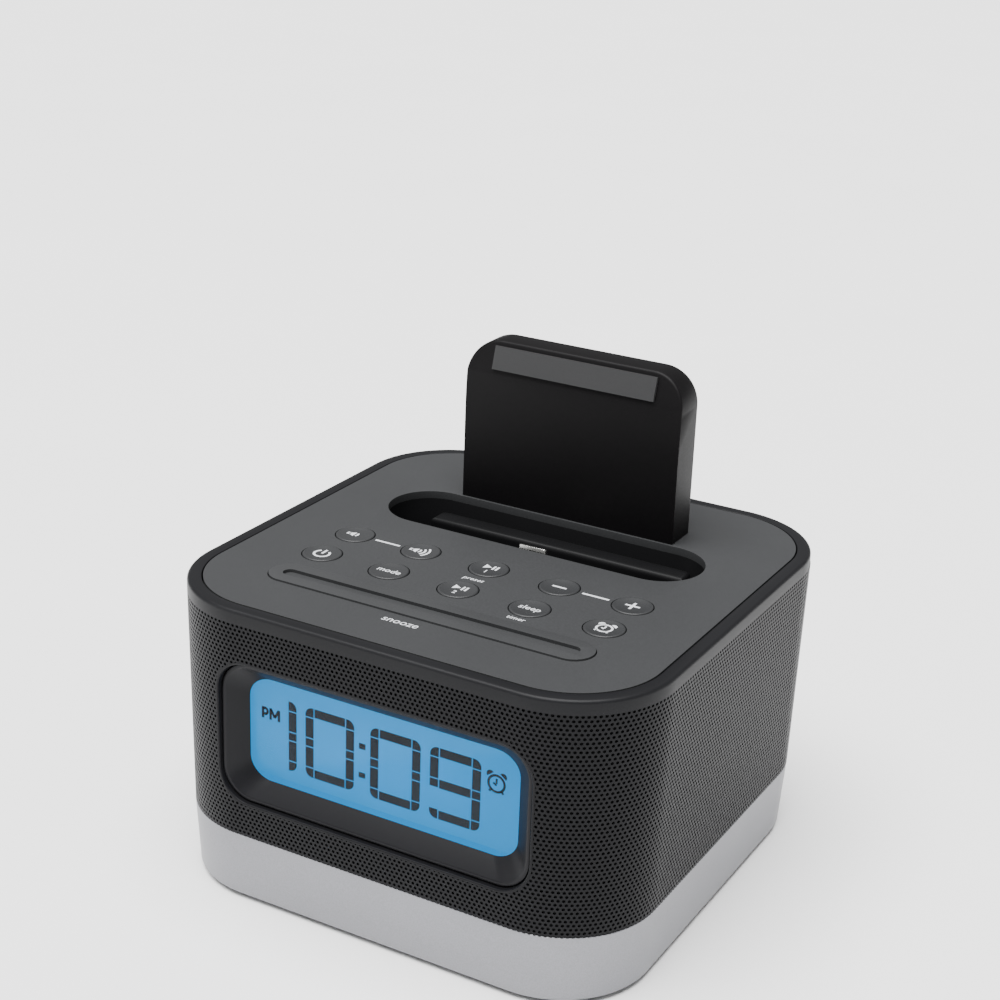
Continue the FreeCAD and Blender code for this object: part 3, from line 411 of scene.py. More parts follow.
# cuts one bmesh out of another and returns the rest
def subtract(bm, cutters):
    bmesh.ops.recalc_face_normals(cutters, faces=cutters.faces)
    objects = []
    for label, source in (("kept", bm), ("cutter", cutters)):
        data = bpy.data.meshes.new(label)
        source.to_mesh(data)
        source.free()
        objects.append(addObject(label, data))
    kept, cutter = objects
    cut = kept.modifiers.new("cut", "BOOLEAN")
    cut.object = cutter
    cut.operation = "DIFFERENCE"
    cut.solver = "EXACT"
    result = bmesh.new()
    result.from_object(kept, bpy.context.evaluated_depsgraph_get())
    for item in objects:
        data = item.data
        bpy.data.objects.remove(item)
        bpy.data.meshes.remove(data)
    bmesh.ops.remove_doubles(result, verts=result.verts, dist=1e-4)
    return result


def gather(parts):
    whole = bmesh.new()
    for part in parts:
        data = bpy.data.meshes.new("part")
        part.to_mesh(data)
        part.free()
        whole.from_mesh(data)
        bpy.data.meshes.remove(data)
    return whole


# middle and lowest and highest corners of a CAD node, in millimetres
def middleOf(node):
    low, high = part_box(node)
    return (low + high) / 2 / mm


def spanOf(node):
    low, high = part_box(node)
    return low / mm, high / mm


def levelsOf(node):
    return [edge.z for edge in spanOf(node)]


outline = {
    "bandHalfLow": 53.3, "bandHalfHigh": 54.08, "bandCorner": 20.65, "bandWall": 1.6,
    "bandEdge": 0.35, "grilleHalf": 54.22, "grilleCorner": 21.57, "rimHalf": 55.0,
    "rimCorner": 22.35, "rimWidth": 3.04, "rimEdge": 0.8, "rimInnerEdge": 0.2,
    "groove": 0.3, "cornerSteps": 32,
}
bandLow, bandHigh = levelsOf("base_band")
rimLow, rimHigh = levelsOf("top_rim")


def makeBaseBand():
    size = outline
    side = size["bandHalfLow"] * 2
    bm = roundedPrism(side, side, size["bandCorner"], bandLow, bandHigh,
                      steps=size["cornerSteps"])
    growTop(bm, bandHigh, size["bandHalfHigh"] / size["bandHalfLow"])
    hollow(bm, size["bandWall"])
    softenEdges(bm, size["bandEdge"], sharp, 3)
    finishNode("base_band", bm, "silverSatin")


# true for edges on the case's outer outline, not on its opening
def onOutline(e):
    half, corner = outline["rimHalf"], outline["rimCorner"]
    for v in e.verts:
        dx = max(abs(v.co.x) - (half - corner), 0)
        dy = max(abs(v.co.y) - (half - corner), 0)
        if abs(math.hypot(dx, dy) - corner) > 0.1:
            return False
    return True


def makeTopRim():
    size = outline
    side = size["rimHalf"] * 2
    bm = roundedPrism(side, side, size["rimCorner"], rimLow, rimHigh,
                      steps=size["cornerSteps"])
    hollow(bm, size["rimWidth"])
    softenEdges(bm, size["rimEdge"],
                lambda e: atLevel(e, rimHigh) and sharp(e) and onOutline(e), 5)
    softenEdges(bm, size["rimInnerEdge"],
                lambda e: atLevel(e, rimHigh) and sharp(e) and not onOutline(e), 3)
    finishNode("top_rim", bm, "rimGrey")


def stadium(halfLength, width, low, high, centreY, steps=24):
    return roundedPrism(halfLength * 2, width, width / 2 - 0.001, low, high, (0, centreY), steps)


plate = {
    "thick": 1.77, "capHole": 4.5, "edge": 0.14, "barHalf": 38.0, "barWidth": 9.4,
    "slotHalf": 38.5, "slotWidth": 20.0, "slotEdge": 0.45,
}
buttonNames = sorted(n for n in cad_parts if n.endswith("_button"))


def makeTopPlate():
    inset = outline["rimWidth"] + outline["groove"]
    half = outline["rimHalf"] - inset
    low = rimHigh - plate["thick"]
    bm = roundedPrism(half * 2, half * 2, outline["rimCorner"] - inset, low, rimHigh,
                      steps=outline["cornerSteps"])
    cutters = []
    for name in buttonNames:
        at = middleOf(name)
        cutters.append(roundedPrism(plate["capHole"] * 2, plate["capHole"] * 2,
                                    plate["capHole"] - 0.001, low - past, rimHigh + past,
                                    (at.x, at.y), 12))
    slotY = middleOf("dock_cradle").y
    for half, width, y in ((plate["barHalf"], plate["barWidth"], middleOf("snooze_bar").y),
                           (plate["slotHalf"], plate["slotWidth"], slotY)):
        cutters.append(stadium(half, width, low - past, rimHigh + past, y))
    bm = subtract(bm, gather(cutters))
    softenEdges(bm, plate["slotEdge"],
                lambda e: atLevel(e, rimHigh) and sharp(e) and onSlot(e, slotY), 4)
    softenLevel(bm, plate["edge"], rimHigh, 2)
    finishNode("top_plate", bm, "softTouchGrey", angle=14)


def onSlot(e, slotY):
    return all(abs(v.co.x) < plate["slotHalf"] + 0.1
               and abs(v.co.y - slotY) < plate["slotWidth"] / 2 + 0.1 for v in e.verts)


makeBaseBand()
makeTopRim()
makeTopPlate()
print("case rings and plate made")

cap = {"radius": 4.3, "edge": 0.3, "lip": 0.5, "dish": 0.16, "dishSlope": 0.35, "flange": 5.2,
       "flangeThick": 1.0, "flangeDrop": 1.87, "stem": 1.75}


# round button: stem, flange under the plate, and a dished top with a soft rim
def makeCap(name):
    at = middleOf(name)
    low, high = levelsOf(name)
    flangeTop = rimHigh - cap["flangeDrop"]
    flangeLow = flangeTop - cap["flangeThick"]
    inner, dish = cap["radius"] - cap["lip"], high - cap["dish"]
    bm = turned([(0, low), (cap["stem"], low), (cap["stem"], flangeLow),
                 (cap["flange"], flangeLow), (cap["flange"], flangeTop),
                 (cap["radius"], flangeTop), (cap["radius"], high), (inner, high),
                 (inner - cap["dishSlope"], dish), (0, dish)], 64, (at.x, at.y))
    softenLevel(bm, cap["edge"], high)
    finishNode(name, bm, "buttonGrey", name, 35)


bar = {"half": 37.8, "width": 9.0, "drop": 1.87, "channelHalf": 34.8, "channelWidth": 3.0,
       "channelDepth": 0.7, "edge": 0.35, "channelEdge": 0.2, "stem": 1.75}


# long bar with a narrow channel along its top
def makeSnoozeBar():
    at = middleOf("snooze_bar")
    low, high = levelsOf("snooze_bar")
    bm = subtract(stadium(bar["half"], bar["width"], rimHigh - bar["drop"], high, at.y),
                  stadium(bar["channelHalf"], bar["channelWidth"], high - bar["channelDepth"],
                          high + past, at.y))
    outer = bar["width"] / 2 - 0.1
    softenEdges(bm, bar["edge"], lambda e: atLevel(e, high) and sharp(e)
                and (max(abs(v.co.y - at.y) for v in e.verts) > outer
                     or max(abs(v.co.x) for v in e.verts) > bar["half"] - outer), 4)
    softenLevel(bm, bar["channelEdge"], high)
    stem = cylinder(bar["stem"], low, rimHigh - bar["drop"], 24, (at.x, at.y))
    finishNode("snooze_bar", gather([bm, stem]), "barGrey", "snooze_bar", 14)


for buttonName in buttonNames:
    makeCap(buttonName)
makeSnoozeBar()
print("buttons made")

mesh = {"pitch": 1.09, "row": 0.93, "hole": 0.31, "depth": 0.4, "ringWidth": 0.6,
        "ringDepth": 1.1, "ringProud": 0.03, "ringRoll": 0.3, "ringGap": 0.3, "end": 36.5,
        "displayCorner": 7.0}


# point and outward direction on a rounded square, by distance from the front's middle
def outlinePoint(distance, half, corner):
    side = 1 if distance >= 0 else -1
    run = abs(distance)
    straight = half - corner
    arc = corner * math.pi / 2
    if run <= straight:
        return Vector((side * run, -half, 0)), Vector((0, -1, 0))
    run -= straight
    if run <= arc:
        angle = run / corner
        out = Vector((side * math.sin(angle), -math.cos(angle), 0))
        return Vector((side * straight, -straight, 0)) + out * corner, out
    run -= arc
    if run <= straight * 2:
        return Vector((side * half, -straight + run, 0)), Vector((side, 0, 0))
    run -= straight * 2
    angle = run / corner
    out = Vector((side * math.cos(angle), math.sin(angle), 0))
    return Vector((side * straight, straight, 0)) + out * corner, out


# one cell of the sheet: a six-sided web with a short six-sided well
def meshCell():
    cell = bmesh.new()
    bmesh.ops.create_circle(cell, cap_ends=True, segments=6, radius=mesh["pitch"] / math.sqrt(3))
    stretch = mesh["row"] / (mesh["pitch"] * math.sqrt(3) / 2)
    bmesh.ops.scale(cell, vec=(1, stretch, 1), verts=cell.verts)
    face = cell.faces[:][0]
    bmesh.ops.inset_region(cell, faces=[face], thickness=mesh["pitch"] / 2 - mesh["hole"],
                           use_boundary=True, use_even_offset=True)
    pushed = bmesh.ops.extrude_face_region(cell, geom=[face])
    bmesh.ops.translate(cell, vec=(0, 0, -mesh["depth"]), verts=vertsOf(pushed))
    bottom = [f for f in pushed["geom"] if isinstance(f, bmesh.types.BMFace)]
    bmesh.ops.delete(cell, geom=bottom + [face], context="FACES_ONLY")
    twin = bmesh.ops.duplicate(cell, geom=cell.verts[:] + cell.edges[:] + cell.faces[:])
    bmesh.ops.translate(cell, vec=(mesh["pitch"] / 2, mesh["row"], 0), verts=vertsOf(twin))
    return cell


# flat sheet of cells, u along x and height along y
def meshSheet(start, end, low, high):
    cell = meshCell()
    seed = bpy.data.meshes.new("seed")
    cell.to_mesh(seed)
    cell.free()
    item = addObject("seed", seed)
    columns = math.ceil((end - start) / mesh["pitch"]) + 1
    rows = math.ceil((high - low) / (mesh["row"] * 2)) + 1
    for count, offset in ((columns, (mesh["pitch"], 0, 0)), (rows, (0, mesh["row"] * 2, 0))):
        array = item.modifiers.new("array", "ARRAY")
        array.count = count
        array.use_relative_offset = False
        array.use_constant_offset = True
        array.constant_offset_displace = offset
    sheet = bmesh.new()
    sheet.from_object(item, bpy.context.evaluated_depsgraph_get())
    bpy.data.objects.remove(item)
    bpy.data.meshes.remove(seed)
    shiftAll(sheet, (start, low, 0))
    bmesh.ops.remove_doubles(sheet, verts=sheet.verts, dist=mesh["pitch"] * 0.02)
    for point, normal in (((start, 0, 0), (-1, 0, 0)), ((end, 0, 0), (1, 0, 0)),
                          ((0, low, 0), (0, -1, 0)), ((0, high, 0), (0, 1, 0))):
        bmesh.ops.bisect_plane(sheet, geom=sheet.verts[:] + sheet.edges[:] + sheet.faces[:],
                               plane_co=point, plane_no=normal, clear_outer=True, dist=1e-5)
    return sheet


# wraps a flat sheet round the case: its y becomes height and its z depth into the wall
def wrapRound(bm):
    half, corner = outline["grilleHalf"], outline["grilleCorner"]
    draft = (outline["rimHalf"] - half) / (rimLow - bandHigh)
    for v in bm.verts:
        point, out = outlinePoint(v.co.x, half, corner)
        level = v.co.y
        v.co = point + out * (draft * (level - bandHigh) + v.co.z)
        v.co.z = level
    return bm


displayLow, displayHigh = spanOf("display_bezel")


# true inside the display opening, grown by a margin, for a point with x and height
def inOpening(x, level, margin):
    half = (displayHigh - displayLow) / 2
    corner = mesh["displayCorner"] + margin
    dx = max(abs(x) - (half.x + margin - corner), 0)
    dz = max(abs(level - displayLow.z - half.z) - (half.z + margin - corner), 0)
    return math.hypot(dx, dz) < corner


# the wrap-round sheet in three lengths, left open round the display
def makeGrille():
    half, corner = outline["grilleHalf"], outline["grilleCorner"]
    straight = half - corner
    arc = corner * math.pi / 2
    frontReach = straight + arc / 2
    reach = straight * 3 + arc + math.asin((mesh["end"] - straight) / corner) * corner
    spans = (("grilleLeft", -reach, -frontReach), ("grilleFront", -frontReach, frontReach),
             ("grilleRight", frontReach, reach))
    margin = mesh["ringGap"] + mesh["ringWidth"] / 2
    for name, start, end in spans:
        sheet = meshSheet(start, end, bandHigh, rimLow)
        if name == "grilleFront":
            inside = [f for f in sheet.faces if inOpening(
                f.calc_center_median().x, f.calc_center_median().y, margin)]
            bmesh.ops.delete(sheet, geom=inside, context="FACES")
        writePiece(name, wrapRound(sheet), case, "grillePaint",
                   ["grille"] if name == "grilleFront" else (), 40)


# rolled edge of the grille round the display
def makeGrilleEdge():
    low, high = spanOf("display_bezel")
    grow = mesh["ringGap"] + mesh["ringWidth"]
    width, tall = high.x - low.x + grow * 2, high.z - low.z + grow * 2
    front = mesh["ringProud"]
    bm = roundedPrism(width, tall, mesh["displayCorner"] + grow, -mesh["ringDepth"], front,
                      (0, (high.z + low.z) / 2), 16)
    hollow(bm, mesh["ringWidth"])
    softenEdges(bm, mesh["ringRoll"], lambda e: atLevel(e, front) and sharp(e) and inOpening(
        e.verts[0].co.x, e.verts[0].co.y, grow - 0.1), 4)
    bmesh.ops.recalc_face_normals(bm, faces=bm.faces)
    writePiece("grilleEdge", wrapRound(bm), case, "grillePaint")


makeGrille()
makeGrilleEdge()
print("grille made")

bezel = {"lip": 0.8, "viewHalfWidth": 31.8, "viewHalfHeight": 11.7, "edge": 0.25, "corner": 7.0,
         "windowCorner": 1.0, "windowEdge": 0.12}


# frame that slopes from its front lip back to the display's edge
def makeBezel():
    low, high = spanOf("display_bezel")
    width, tall = high.x - low.x, high.z - low.z
    depth = high.y - low.y
    bm = roundedPrism(width, tall, bezel["corner"], 0, depth, (0, 0), 14)
    top = facesFacing(bm, (0, 0, 1), depth)
    bmesh.ops.inset_region(bm, faces=top, thickness=bezel["lip"], use_even_offset=True)
    mouth = max(facesFacing(bm, (0, 0, 1), depth), key=lambda f: f.calc_area())
    pushed = bmesh.ops.extrude_face_region(bm, geom=[mouth])
    verts = vertsOf(pushed)
    bmesh.ops.delete(bm, geom=[mouth], context="FACES_ONLY")
    for v in verts:
        v.co.x *= bezel["viewHalfWidth"] / (width / 2 - bezel["lip"])
        v.co.y *= bezel["viewHalfHeight"] / (tall / 2 - bezel["lip"])
        v.co.z = 0
    drop = [f for f in bm.faces if all(abs(v.co.z) < 1e-4 for v in f.verts)]
    bmesh.ops.delete(bm, geom=drop, context="FACES_ONLY")
    loops = [e for e in bm.edges if e.is_boundary]
    bmesh.ops.bridge_loops(bm, edges=loops)
    softenEdges(bm, bezel["edge"], lambda e: atLevel(e, depth) and sharp(e, 30), 3)
    faceFront(bm)
    shiftAll(bm, (0, high.y, (high.z + low.z) / 2))
    finishNode("display_bezel", bm, "bezelBlack")


def makeWindow():
    low, high = spanOf("display_window")
    bm = roundedPrism(high.x - low.x, high.z - low.z, bezel["windowCorner"], 0, high.y - low.y,
                      (0, 0), 4)
    softenEdges(bm, bezel["windowEdge"], sharp, 2)
    faceFront(bm)
    shiftAll(bm, (0, high.y, (high.z + low.z) / 2))
    finishNode("display_window", bm, "clearWindow")


makeBezel()
makeWindow()
print("display frame made")

digits = {
    "low": 31.65, "high": 47.55, "stroke": 1.95, "corner": 2.1, "middle": 2.0, "gap": 0.24,
    "round": 1.6, "thick": 0.03, "places": ((-18.82, -7.02), (-3.12, 8.68), (10.88, 22.48)),
    "oneLeft": -23.02, "colonX": (-5.82, -4.27), "colonZ": ((41.85, 43.15), (35.35, 36.55)),
    "meridiem": (-29.75, 42.05), "meridiemHeight": 2.6, "meridiemInk": 0.6,
    "alarm": (25.95, 43.6), "alarmRadius": 1.8, "alarmInk": 0.52,
}


# flat block between two corners; the named corner is rounded
def flatBlock(left, right, low, high, rounded=None, radius=0.0):
    bm = bmesh.new()
    bmesh.ops.create_cube(bm, size=1)
    bmesh.ops.scale(bm, vec=(right - left, high - low, digits["thick"]), verts=bm.verts)
    shiftAll(bm, ((left + right) / 2, (low + high) / 2, digits["thick"] / 2))
    if rounded:
        x = right if "right" in rounded else left
        y = high if "top" in rounded else low
        edge = [e for e in bm.edges if all(abs(v.co.x - x) < 1e-4 and abs(v.co.y - y) < 1e-4
                                           for v in e.verts)]
        bevelEdges(bm, edge, radius, 6)
    return bm


# one upright of a figure: end block, long block, short middle block, long block, end block
def upright(left, right, side, parts="tumlb"):
    size = digits
    low, high, end, gap = size["low"], size["high"], size["corner"], size["gap"]
    middle = (low + high) / 2
    half = size["middle"] / 2
    spans = {"t": (high - end, high, "top " + side),
             "u": (middle + half + gap / 2, high - end - gap, None),
             "m": (middle - half + gap / 2, middle + half - gap / 2, None),
             "l": (low + end + gap, middle - half - gap / 2, None),
             "b": (low, low + end, "low " + side)}
    return [flatBlock(left, right, *spans[part], size["round"]) for part in parts]


# one figure: the left upright's named blocks, the whole right upright, and its level bars
def figure(left, right, leftParts, bars):
    stroke, gap = digits["stroke"], digits["gap"]
    middle = (digits["low"] + digits["high"]) / 2
    blocks = upright(left, left + stroke, "left", leftParts)
    blocks += upright(right - stroke, right, "right")
    levels = {"top": (digits["high"] - stroke, digits["high"]),
              "middle": (middle - stroke / 2, middle + stroke / 2),
              "bottom": (digits["low"], digits["low"] + stroke)}
    for level in bars:
        low, high = levels[level]
        blocks.append(flatBlock(left + stroke + gap, right - stroke - gap, low, high))
    return blocks


# part of a flat ring, from one angle through another, in degrees
def ringPart(centre, radius, width, start=0, sweep=360, steps=28, thick=None):
    bm = bmesh.new()
    inner = bm.verts.new((radius - width / 2, 0, 0))
    outer = bm.verts.new((radius + width / 2, 0, 0))
    edge = bm.edges.new((inner, outer))
    turnAll(bm, start, "Z")
    whole = sweep == 360
    bmesh.ops.spin(bm, geom=[inner, outer, edge], cent=(0, 0, 0), axis=(0, 0, 1),
                   angle=math.radians(sweep), steps=steps, use_merge=whole,
                   use_duplicate=False)
    return thicken(bm, centre, thick)


# gives a flat shape its thickness and puts it in place
def thicken(bm, centre, thick=None):
    thick = thick or digits["thick"]
    bm.normal_update()
    pushed = bmesh.ops.extrude_face_region(bm, geom=bm.faces[:])
    bmesh.ops.translate(bm, vec=(0, 0, thick), verts=vertsOf(pushed))
    bmesh.ops.recalc_face_normals(bm, faces=bm.faces)
    return shiftAll(bm, (centre[0], centre[1], 0))


# flat bar of a length and width, turned about its middle
def flatBar(centre, length, width, degrees=0, thick=None):
    bm = bmesh.new()
    bmesh.ops.create_grid(bm, x_segments=1, y_segments=1, size=0.5)
    bmesh.ops.scale(bm, vec=(length, width, 1), verts=bm.verts)
    turnAll(bm, degrees, "Z")
    return thicken(bm, centre, thick)


def flatTriangle(centre, radius, degrees, thick):
    bm = bmesh.new()
    bmesh.ops.create_circle(bm, cap_ends=True, segments=3, radius=radius)
    turnAll(bm, degrees, "Z")
    return thicken(bm, centre, thick)


# round clock face with two bells, two feet and two hands
def alarmShape(centre, radius, ink, thick=None):
    x, y = centre
    parts = [ringPart(centre, radius, ink, thick=thick),
             flatBar((x, y + radius * 0.3), ink * 0.8, radius * 0.62, thick=thick),
             flatBar((x - radius * 0.2, y - radius * 0.08), ink * 0.8, radius * 0.5, 58,
                     thick)]
    lean, reach = 38, radius * 1.28
    for side in (-1, 1):
        angle = math.radians(90 - side * lean)
        bell = (x + math.cos(angle) * reach, y + math.sin(angle) * reach)
        parts.append(ringPart(bell, radius * 0.24, radius * 0.46, -side * lean, 180, 10, thick))
        parts.append(flatBar((x + side * radius * 0.76, y - radius * 0.92), ink,
                             radius * 0.4, side * 40, thick))
    return parts


# letters from the built-in face, as a flat mesh centred across the given place
def letters(text, place, height, slant=0.0, weight=0.0):
    curve = bpy.data.curves.new("letters", "FONT")
    curve.body = text
    curve.size = height
    curve.offset = weight
    curve.shear = slant
    curve.resolution_u = 3
    curve.align_x = "CENTER"
    item = addObject("letters", curve)
    flat = bpy.data.meshes.new_from_object(
        item.evaluated_get(bpy.context.evaluated_depsgraph_get()))
    bpy.data.objects.remove(item)
    bpy.data.curves.remove(curve)
    bm = bmesh.new()
    bm.from_mesh(flat)
    bpy.data.meshes.remove(flat)
    bmesh.ops.remove_doubles(bm, verts=bm.verts, dist=1e-4)
    return thicken(bm, place, prints["thick"])


# the two afternoon letters, built from bars and part rings
def meridiemShape(x, y, tall, ink):
    bowl = tall * 0.25
    stemX = x + ink / 2
    secondX = x + tall * 0.85
    across = tall * 0.8
    lean = math.degrees(math.atan2(across / 2, tall * 0.72))
    slope = math.hypot(across / 2, tall * 0.72)
    parts = [flatBar((stemX, y + tall / 2), ink, tall),
             ringPart((x + tall * 0.32, y + tall - bowl - ink / 2), bowl, ink, -90, 180, 10)]
    parts += [flatBar((x + tall * 0.16 + ink / 2, y + tall - ink / 2 - drop), tall * 0.32, ink)
              for drop in (0, bowl * 2)]
    parts += [flatBar((secondX + side, y + tall / 2), ink, tall) for side in (0, across)]
    parts += [flatBar((secondX + across * part, y + tall * 0.62), ink, slope, turn)
              for part, turn in ((0.25, lean), (0.75, -lean))]
    return parts


def makeDisplayFigures():
    size = digits
    parts = []
    shapes = (("tumlb", ("top", "bottom")), ("tumlb", ("top", "bottom")),
              ("tumb", ("top", "middle", "bottom")))
    for (left, right), (leftParts, bars) in zip(size["places"], shapes):
        parts += figure(left, right, leftParts, bars)
    parts += upright(size["oneLeft"], size["oneLeft"] + size["stroke"], "right")
    for low, high in size["colonZ"]:
        parts.append(flatBlock(*size["colonX"], low, high))
    parts += meridiemShape(*size["meridiem"], size["meridiemHeight"], size["meridiemInk"])
    parts += alarmShape(size["alarm"], size["alarmRadius"], size["alarmInk"])
    panel = spanOf("lcd_panel")[0].y
    figures = faceFront(gather(parts))
    shiftAll(figures, (0, panel, 0))
    finishPiece("displayFigures", figures, case, "segmentInk")


makeDisplayFigures()
print("display figures made")

prints = {
    "thick": 0.02, "power": 1.35, "ink": 0.42, "word": 2.45, "smallWord": 1.9, "number": 1.5,
    "dashLength": 6.2, "dashInk": 0.62, "symbolScale": 1.25, "presetY": -14.75,
    "timerY": -27.3, "snoozePlace": (-1.3, -42.0), "snoozeWord": 2.9, "alarmRadius": 1.3,
    "slant": 0.1, "cone": 0.95, "waveRadius": 0.85, "waveStep": 0.78, "arrow": 0.92,
    "pauseWidth": 0.36, "pauseHeight": 1.5, "numberY": -1.65, "bold": 0.02, "sign": 2.6,
    "lift": 0.002,
}


# loudspeaker symbol with a number of sound waves to its right
def speakerShape(waves, x=-1.5):
    ink, thick = prints["ink"] * 0.85, prints["thick"]
    parts = [flatTriangle((x + 0.35, 0), prints["cone"], 90, thick),
             flatBar((x - 0.35, 0), 0.75, 0.8, 0, thick)]
    for step in range(waves):
        radius = prints["waveRadius"] + step * prints["waveStep"]
        parts.append(ringPart((x + 0.55, 0), radius, ink, -42, 84, 8, thick))
    return parts


# play and pause symbol over a number
def playShape(number):
    thick, tall = prints["thick"], prints["pauseHeight"]
    parts = [flatTriangle((-0.75, tall / 2), prints["arrow"], -90, thick)]
    parts += [flatBar((x, tall / 2), prints["pauseWidth"], tall, 0, thick) for x in (0.55, 1.2)]
    parts.append(letters(number, (0, prints["numberY"]), prints["number"],
                         weight=prints["bold"]))
    return parts


def powerShape():
    ink, thick = prints["ink"], prints["thick"]
    return [ringPart((0, -0.1), prints["power"], ink, 125, 290, 24, thick),
            flatBar((0, 0.75), ink, 1.7, 0, thick)]


def signShape(plus):
    ink, thick = prints["ink"] * 1.1, prints["thick"]
    arm = prints["sign"] / 2
    parts = [flatBar((0, 0), prints["sign"], ink, 0, thick)]
    if plus:
        parts += [flatBar((0, side * (arm + ink / 2) / 2), ink, arm - ink / 2, 0, thick)
                  for side in (-1, 1)]
    return parts


def wordShape(word):
    return [letters(word, (0, -prints["word"] * 0.26), prints["word"], prints["slant"],
                    prints["bold"])]


# one printed symbol or word on each button, which moves with it
def makePrints():
    symbols = {
        "volume_down_button": speakerShape(1, -0.9), "volume_up_button": speakerShape(3),
        "play_button": playShape("1"), "preset_button": playShape("2"),
        "tune_down_button": signShape(False), "tune_up_button": signShape(True),
        "power_button": powerShape(), "mode_button": wordShape("mode"),
        "sleep_button": wordShape("sleep"),
        "alarm_button": alarmShape((0, 0), prints["alarmRadius"], prints["ink"] * 0.85,
                                   prints["thick"]),
    }
    for name, parts in symbols.items():
        at = middleOf(name)
        level = spanOf(name)[1].z - cap["dish"] + prints["lift"]
        symbol = gather(parts)
        if name not in ("mode_button", "sleep_button"):
            bmesh.ops.scale(symbol, vec=(prints["symbolScale"], prints["symbolScale"], 1),
                            verts=symbol.verts)
        shiftAll(symbol, (at.x, at.y, level))
        writePiece(pieceName(name) + "Print", symbol, name, "printWhite")


# dashes between the paired buttons, and the words on the plate
def makePlatePrints():
    thick, small = prints["thick"], prints["smallWord"]
    rowY = middleOf("volume_up_button").y
    parts = []
    for left, right in (("volume_down_button", "volume_up_button"),
                        ("tune_down_button", "tune_up_button")):
        middle = (middleOf(left).x + middleOf(right).x) / 2
        parts.append(flatBar((middle, rowY), prints["dashLength"], prints["dashInk"], 0, thick))
    for word, place, height, weight in (
            ("preset", (0, prints["presetY"] - small * 0.25), small, 0.01),
            ("timer", (middleOf("sleep_button").x, prints["timerY"]), small, 0.01),
            ("snooze", prints["snoozePlace"], prints["snoozeWord"], 0.015)):
        parts.append(letters(word, place, height, prints["slant"], weight))
    labels = shiftAll(gather(parts), (0, 0, rimHigh + prints["lift"]))
    writePiece("platePrints", labels, case, "printWhite")


makePrints()
makePlatePrints()
print("prints made")

dock = {
    "half": 38.5, "width": 20.0, "wall": 1.8, "edge": 0.25, "lean": 16.5, "pivotY": 8.66,
    "pivotZ": 56.66, "floor": 59.4, "floorThick": 2.4, "ledgeTop": 62.9,
    "ledgeHalf": 32.0, "ledgeFront": 20.9, "ledgeEdge": 1.2, "windowHalf": 7.0,
    "windowFront": 6.0, "windowBack": 13.0, "earInner": 6.5, "earOuter": 8.5, "earFront": 6.5,
    "earBack": 12.5, "overlap": 0.5, "trunnion": 1.05, "pin": 1.0,
}
# width, depth, corner, low, high and soft edge of the boot and the metal tab, from the pivot
connectorParts = {
    "connector_boot": (12.0, 5.0, 1.2, -3.0, 3.4, 0.5),
    "dock_connector": (6.7, 1.5, 0.6, 3.4, 10.1, 0.25),
}
pads = {"count": 8, "left": -2.45, "pitch": 0.66, "width": 0.4, "front": -0.78, "back": -0.7,
        "low": 4.6, "high": 9.3}


def box(left, right, front, back, low, high):
    return roundedPrism(right - left, back - front, 0, low, high,
                        ((left + right) / 2, (front + back) / 2))


# a rod along X, from its middle
def crossRod(radius, half, y, z, steps=24):
    bm = cylinder(radius, -half, half, steps)
    turnAll(bm, 90, "Y")
    return shiftAll(bm, (0, y, z))


# slot with a floor, a ledge along its back and two ears below that hold the connector
def makeDockCradle():
    size = dock
    low, high = levelsOf("dock_cradle")
    bottom, y = size["floor"] - size["floorThick"], middleOf("dock_cradle").y
    outer = stadium(size["half"] + size["wall"], size["width"] + size["wall"] * 2, bottom, high, y)
    well = stadium(size["half"], size["width"], size["floor"], high + past, y)
    window = box(-size["windowHalf"], size["windowHalf"], size["windowFront"],
                 size["windowBack"], bottom - past, size["floor"] + past)
    shell = subtract(outer, gather([well, window]))
    softenEdges(shell, size["edge"], lambda e: sharp(e) and e.verts[0].co.z > bottom + 0.1, 2)
    back = y + size["width"] / 2 + size["wall"] / 2
    ledge = box(-size["ledgeHalf"], size["ledgeHalf"], size["ledgeFront"], back,
                size["floor"] - size["overlap"], size["ledgeTop"])
    softenLevel(ledge, size["ledgeEdge"], size["ledgeTop"], 4)
    ears = []
    for side in (-1, 1):
        inner, outside = sorted((side * size["earInner"], side * size["earOuter"]))
        ear = box(inner, outside, size["earFront"], size["earBack"], low,
                  bottom + size["overlap"])
        softenEdges(ear, size["edge"], sharp, 2)
        ears.append(subtract(ear, crossRod(size["trunnion"], size["earOuter"] + past,
                                           size["pivotY"], size["pivotZ"])))
    finishNode("dock_cradle", gather([shell, ledge] + ears), "mouldedBlack")


# boot and metal tab, modelled upright about the pivot and then leaned back
def makeConnector():
    size = dock
    for node, look, slot in (("connector_boot", "rubberBlack", "rubber_black"),
                             ("dock_connector", "platedSteel", "plated_steel")):
        width, depth, corner, low, high, edge = connectorParts[node]
        bm = roundedPrism(width, depth, corner, low, high, steps=6)
        softenLevel(bm, edge, high)
        if node == "dock_connector":
            lefts = [pads["left"] + step * pads["pitch"] for step in range(pads["count"])]
            bm = gather([bm] + [box(left, left + pads["width"], pads["front"], pads["back"],
                                    pads["low"], pads["high"]) for left in lefts])
        else:
            bm = gather([bm, crossRod(size["pin"], size["earOuter"], 0, 0)])
        turnAll(bm, -size["lean"], "X")
        shiftAll(bm, (0, size["pivotY"], size["pivotZ"]))
        finishNode(node, bm, look, "connector")


rest = {"corner": 8.0, "edge": 2.0, "bend": 30.5, "lean": 2.2, "frontEdge": 0.5}


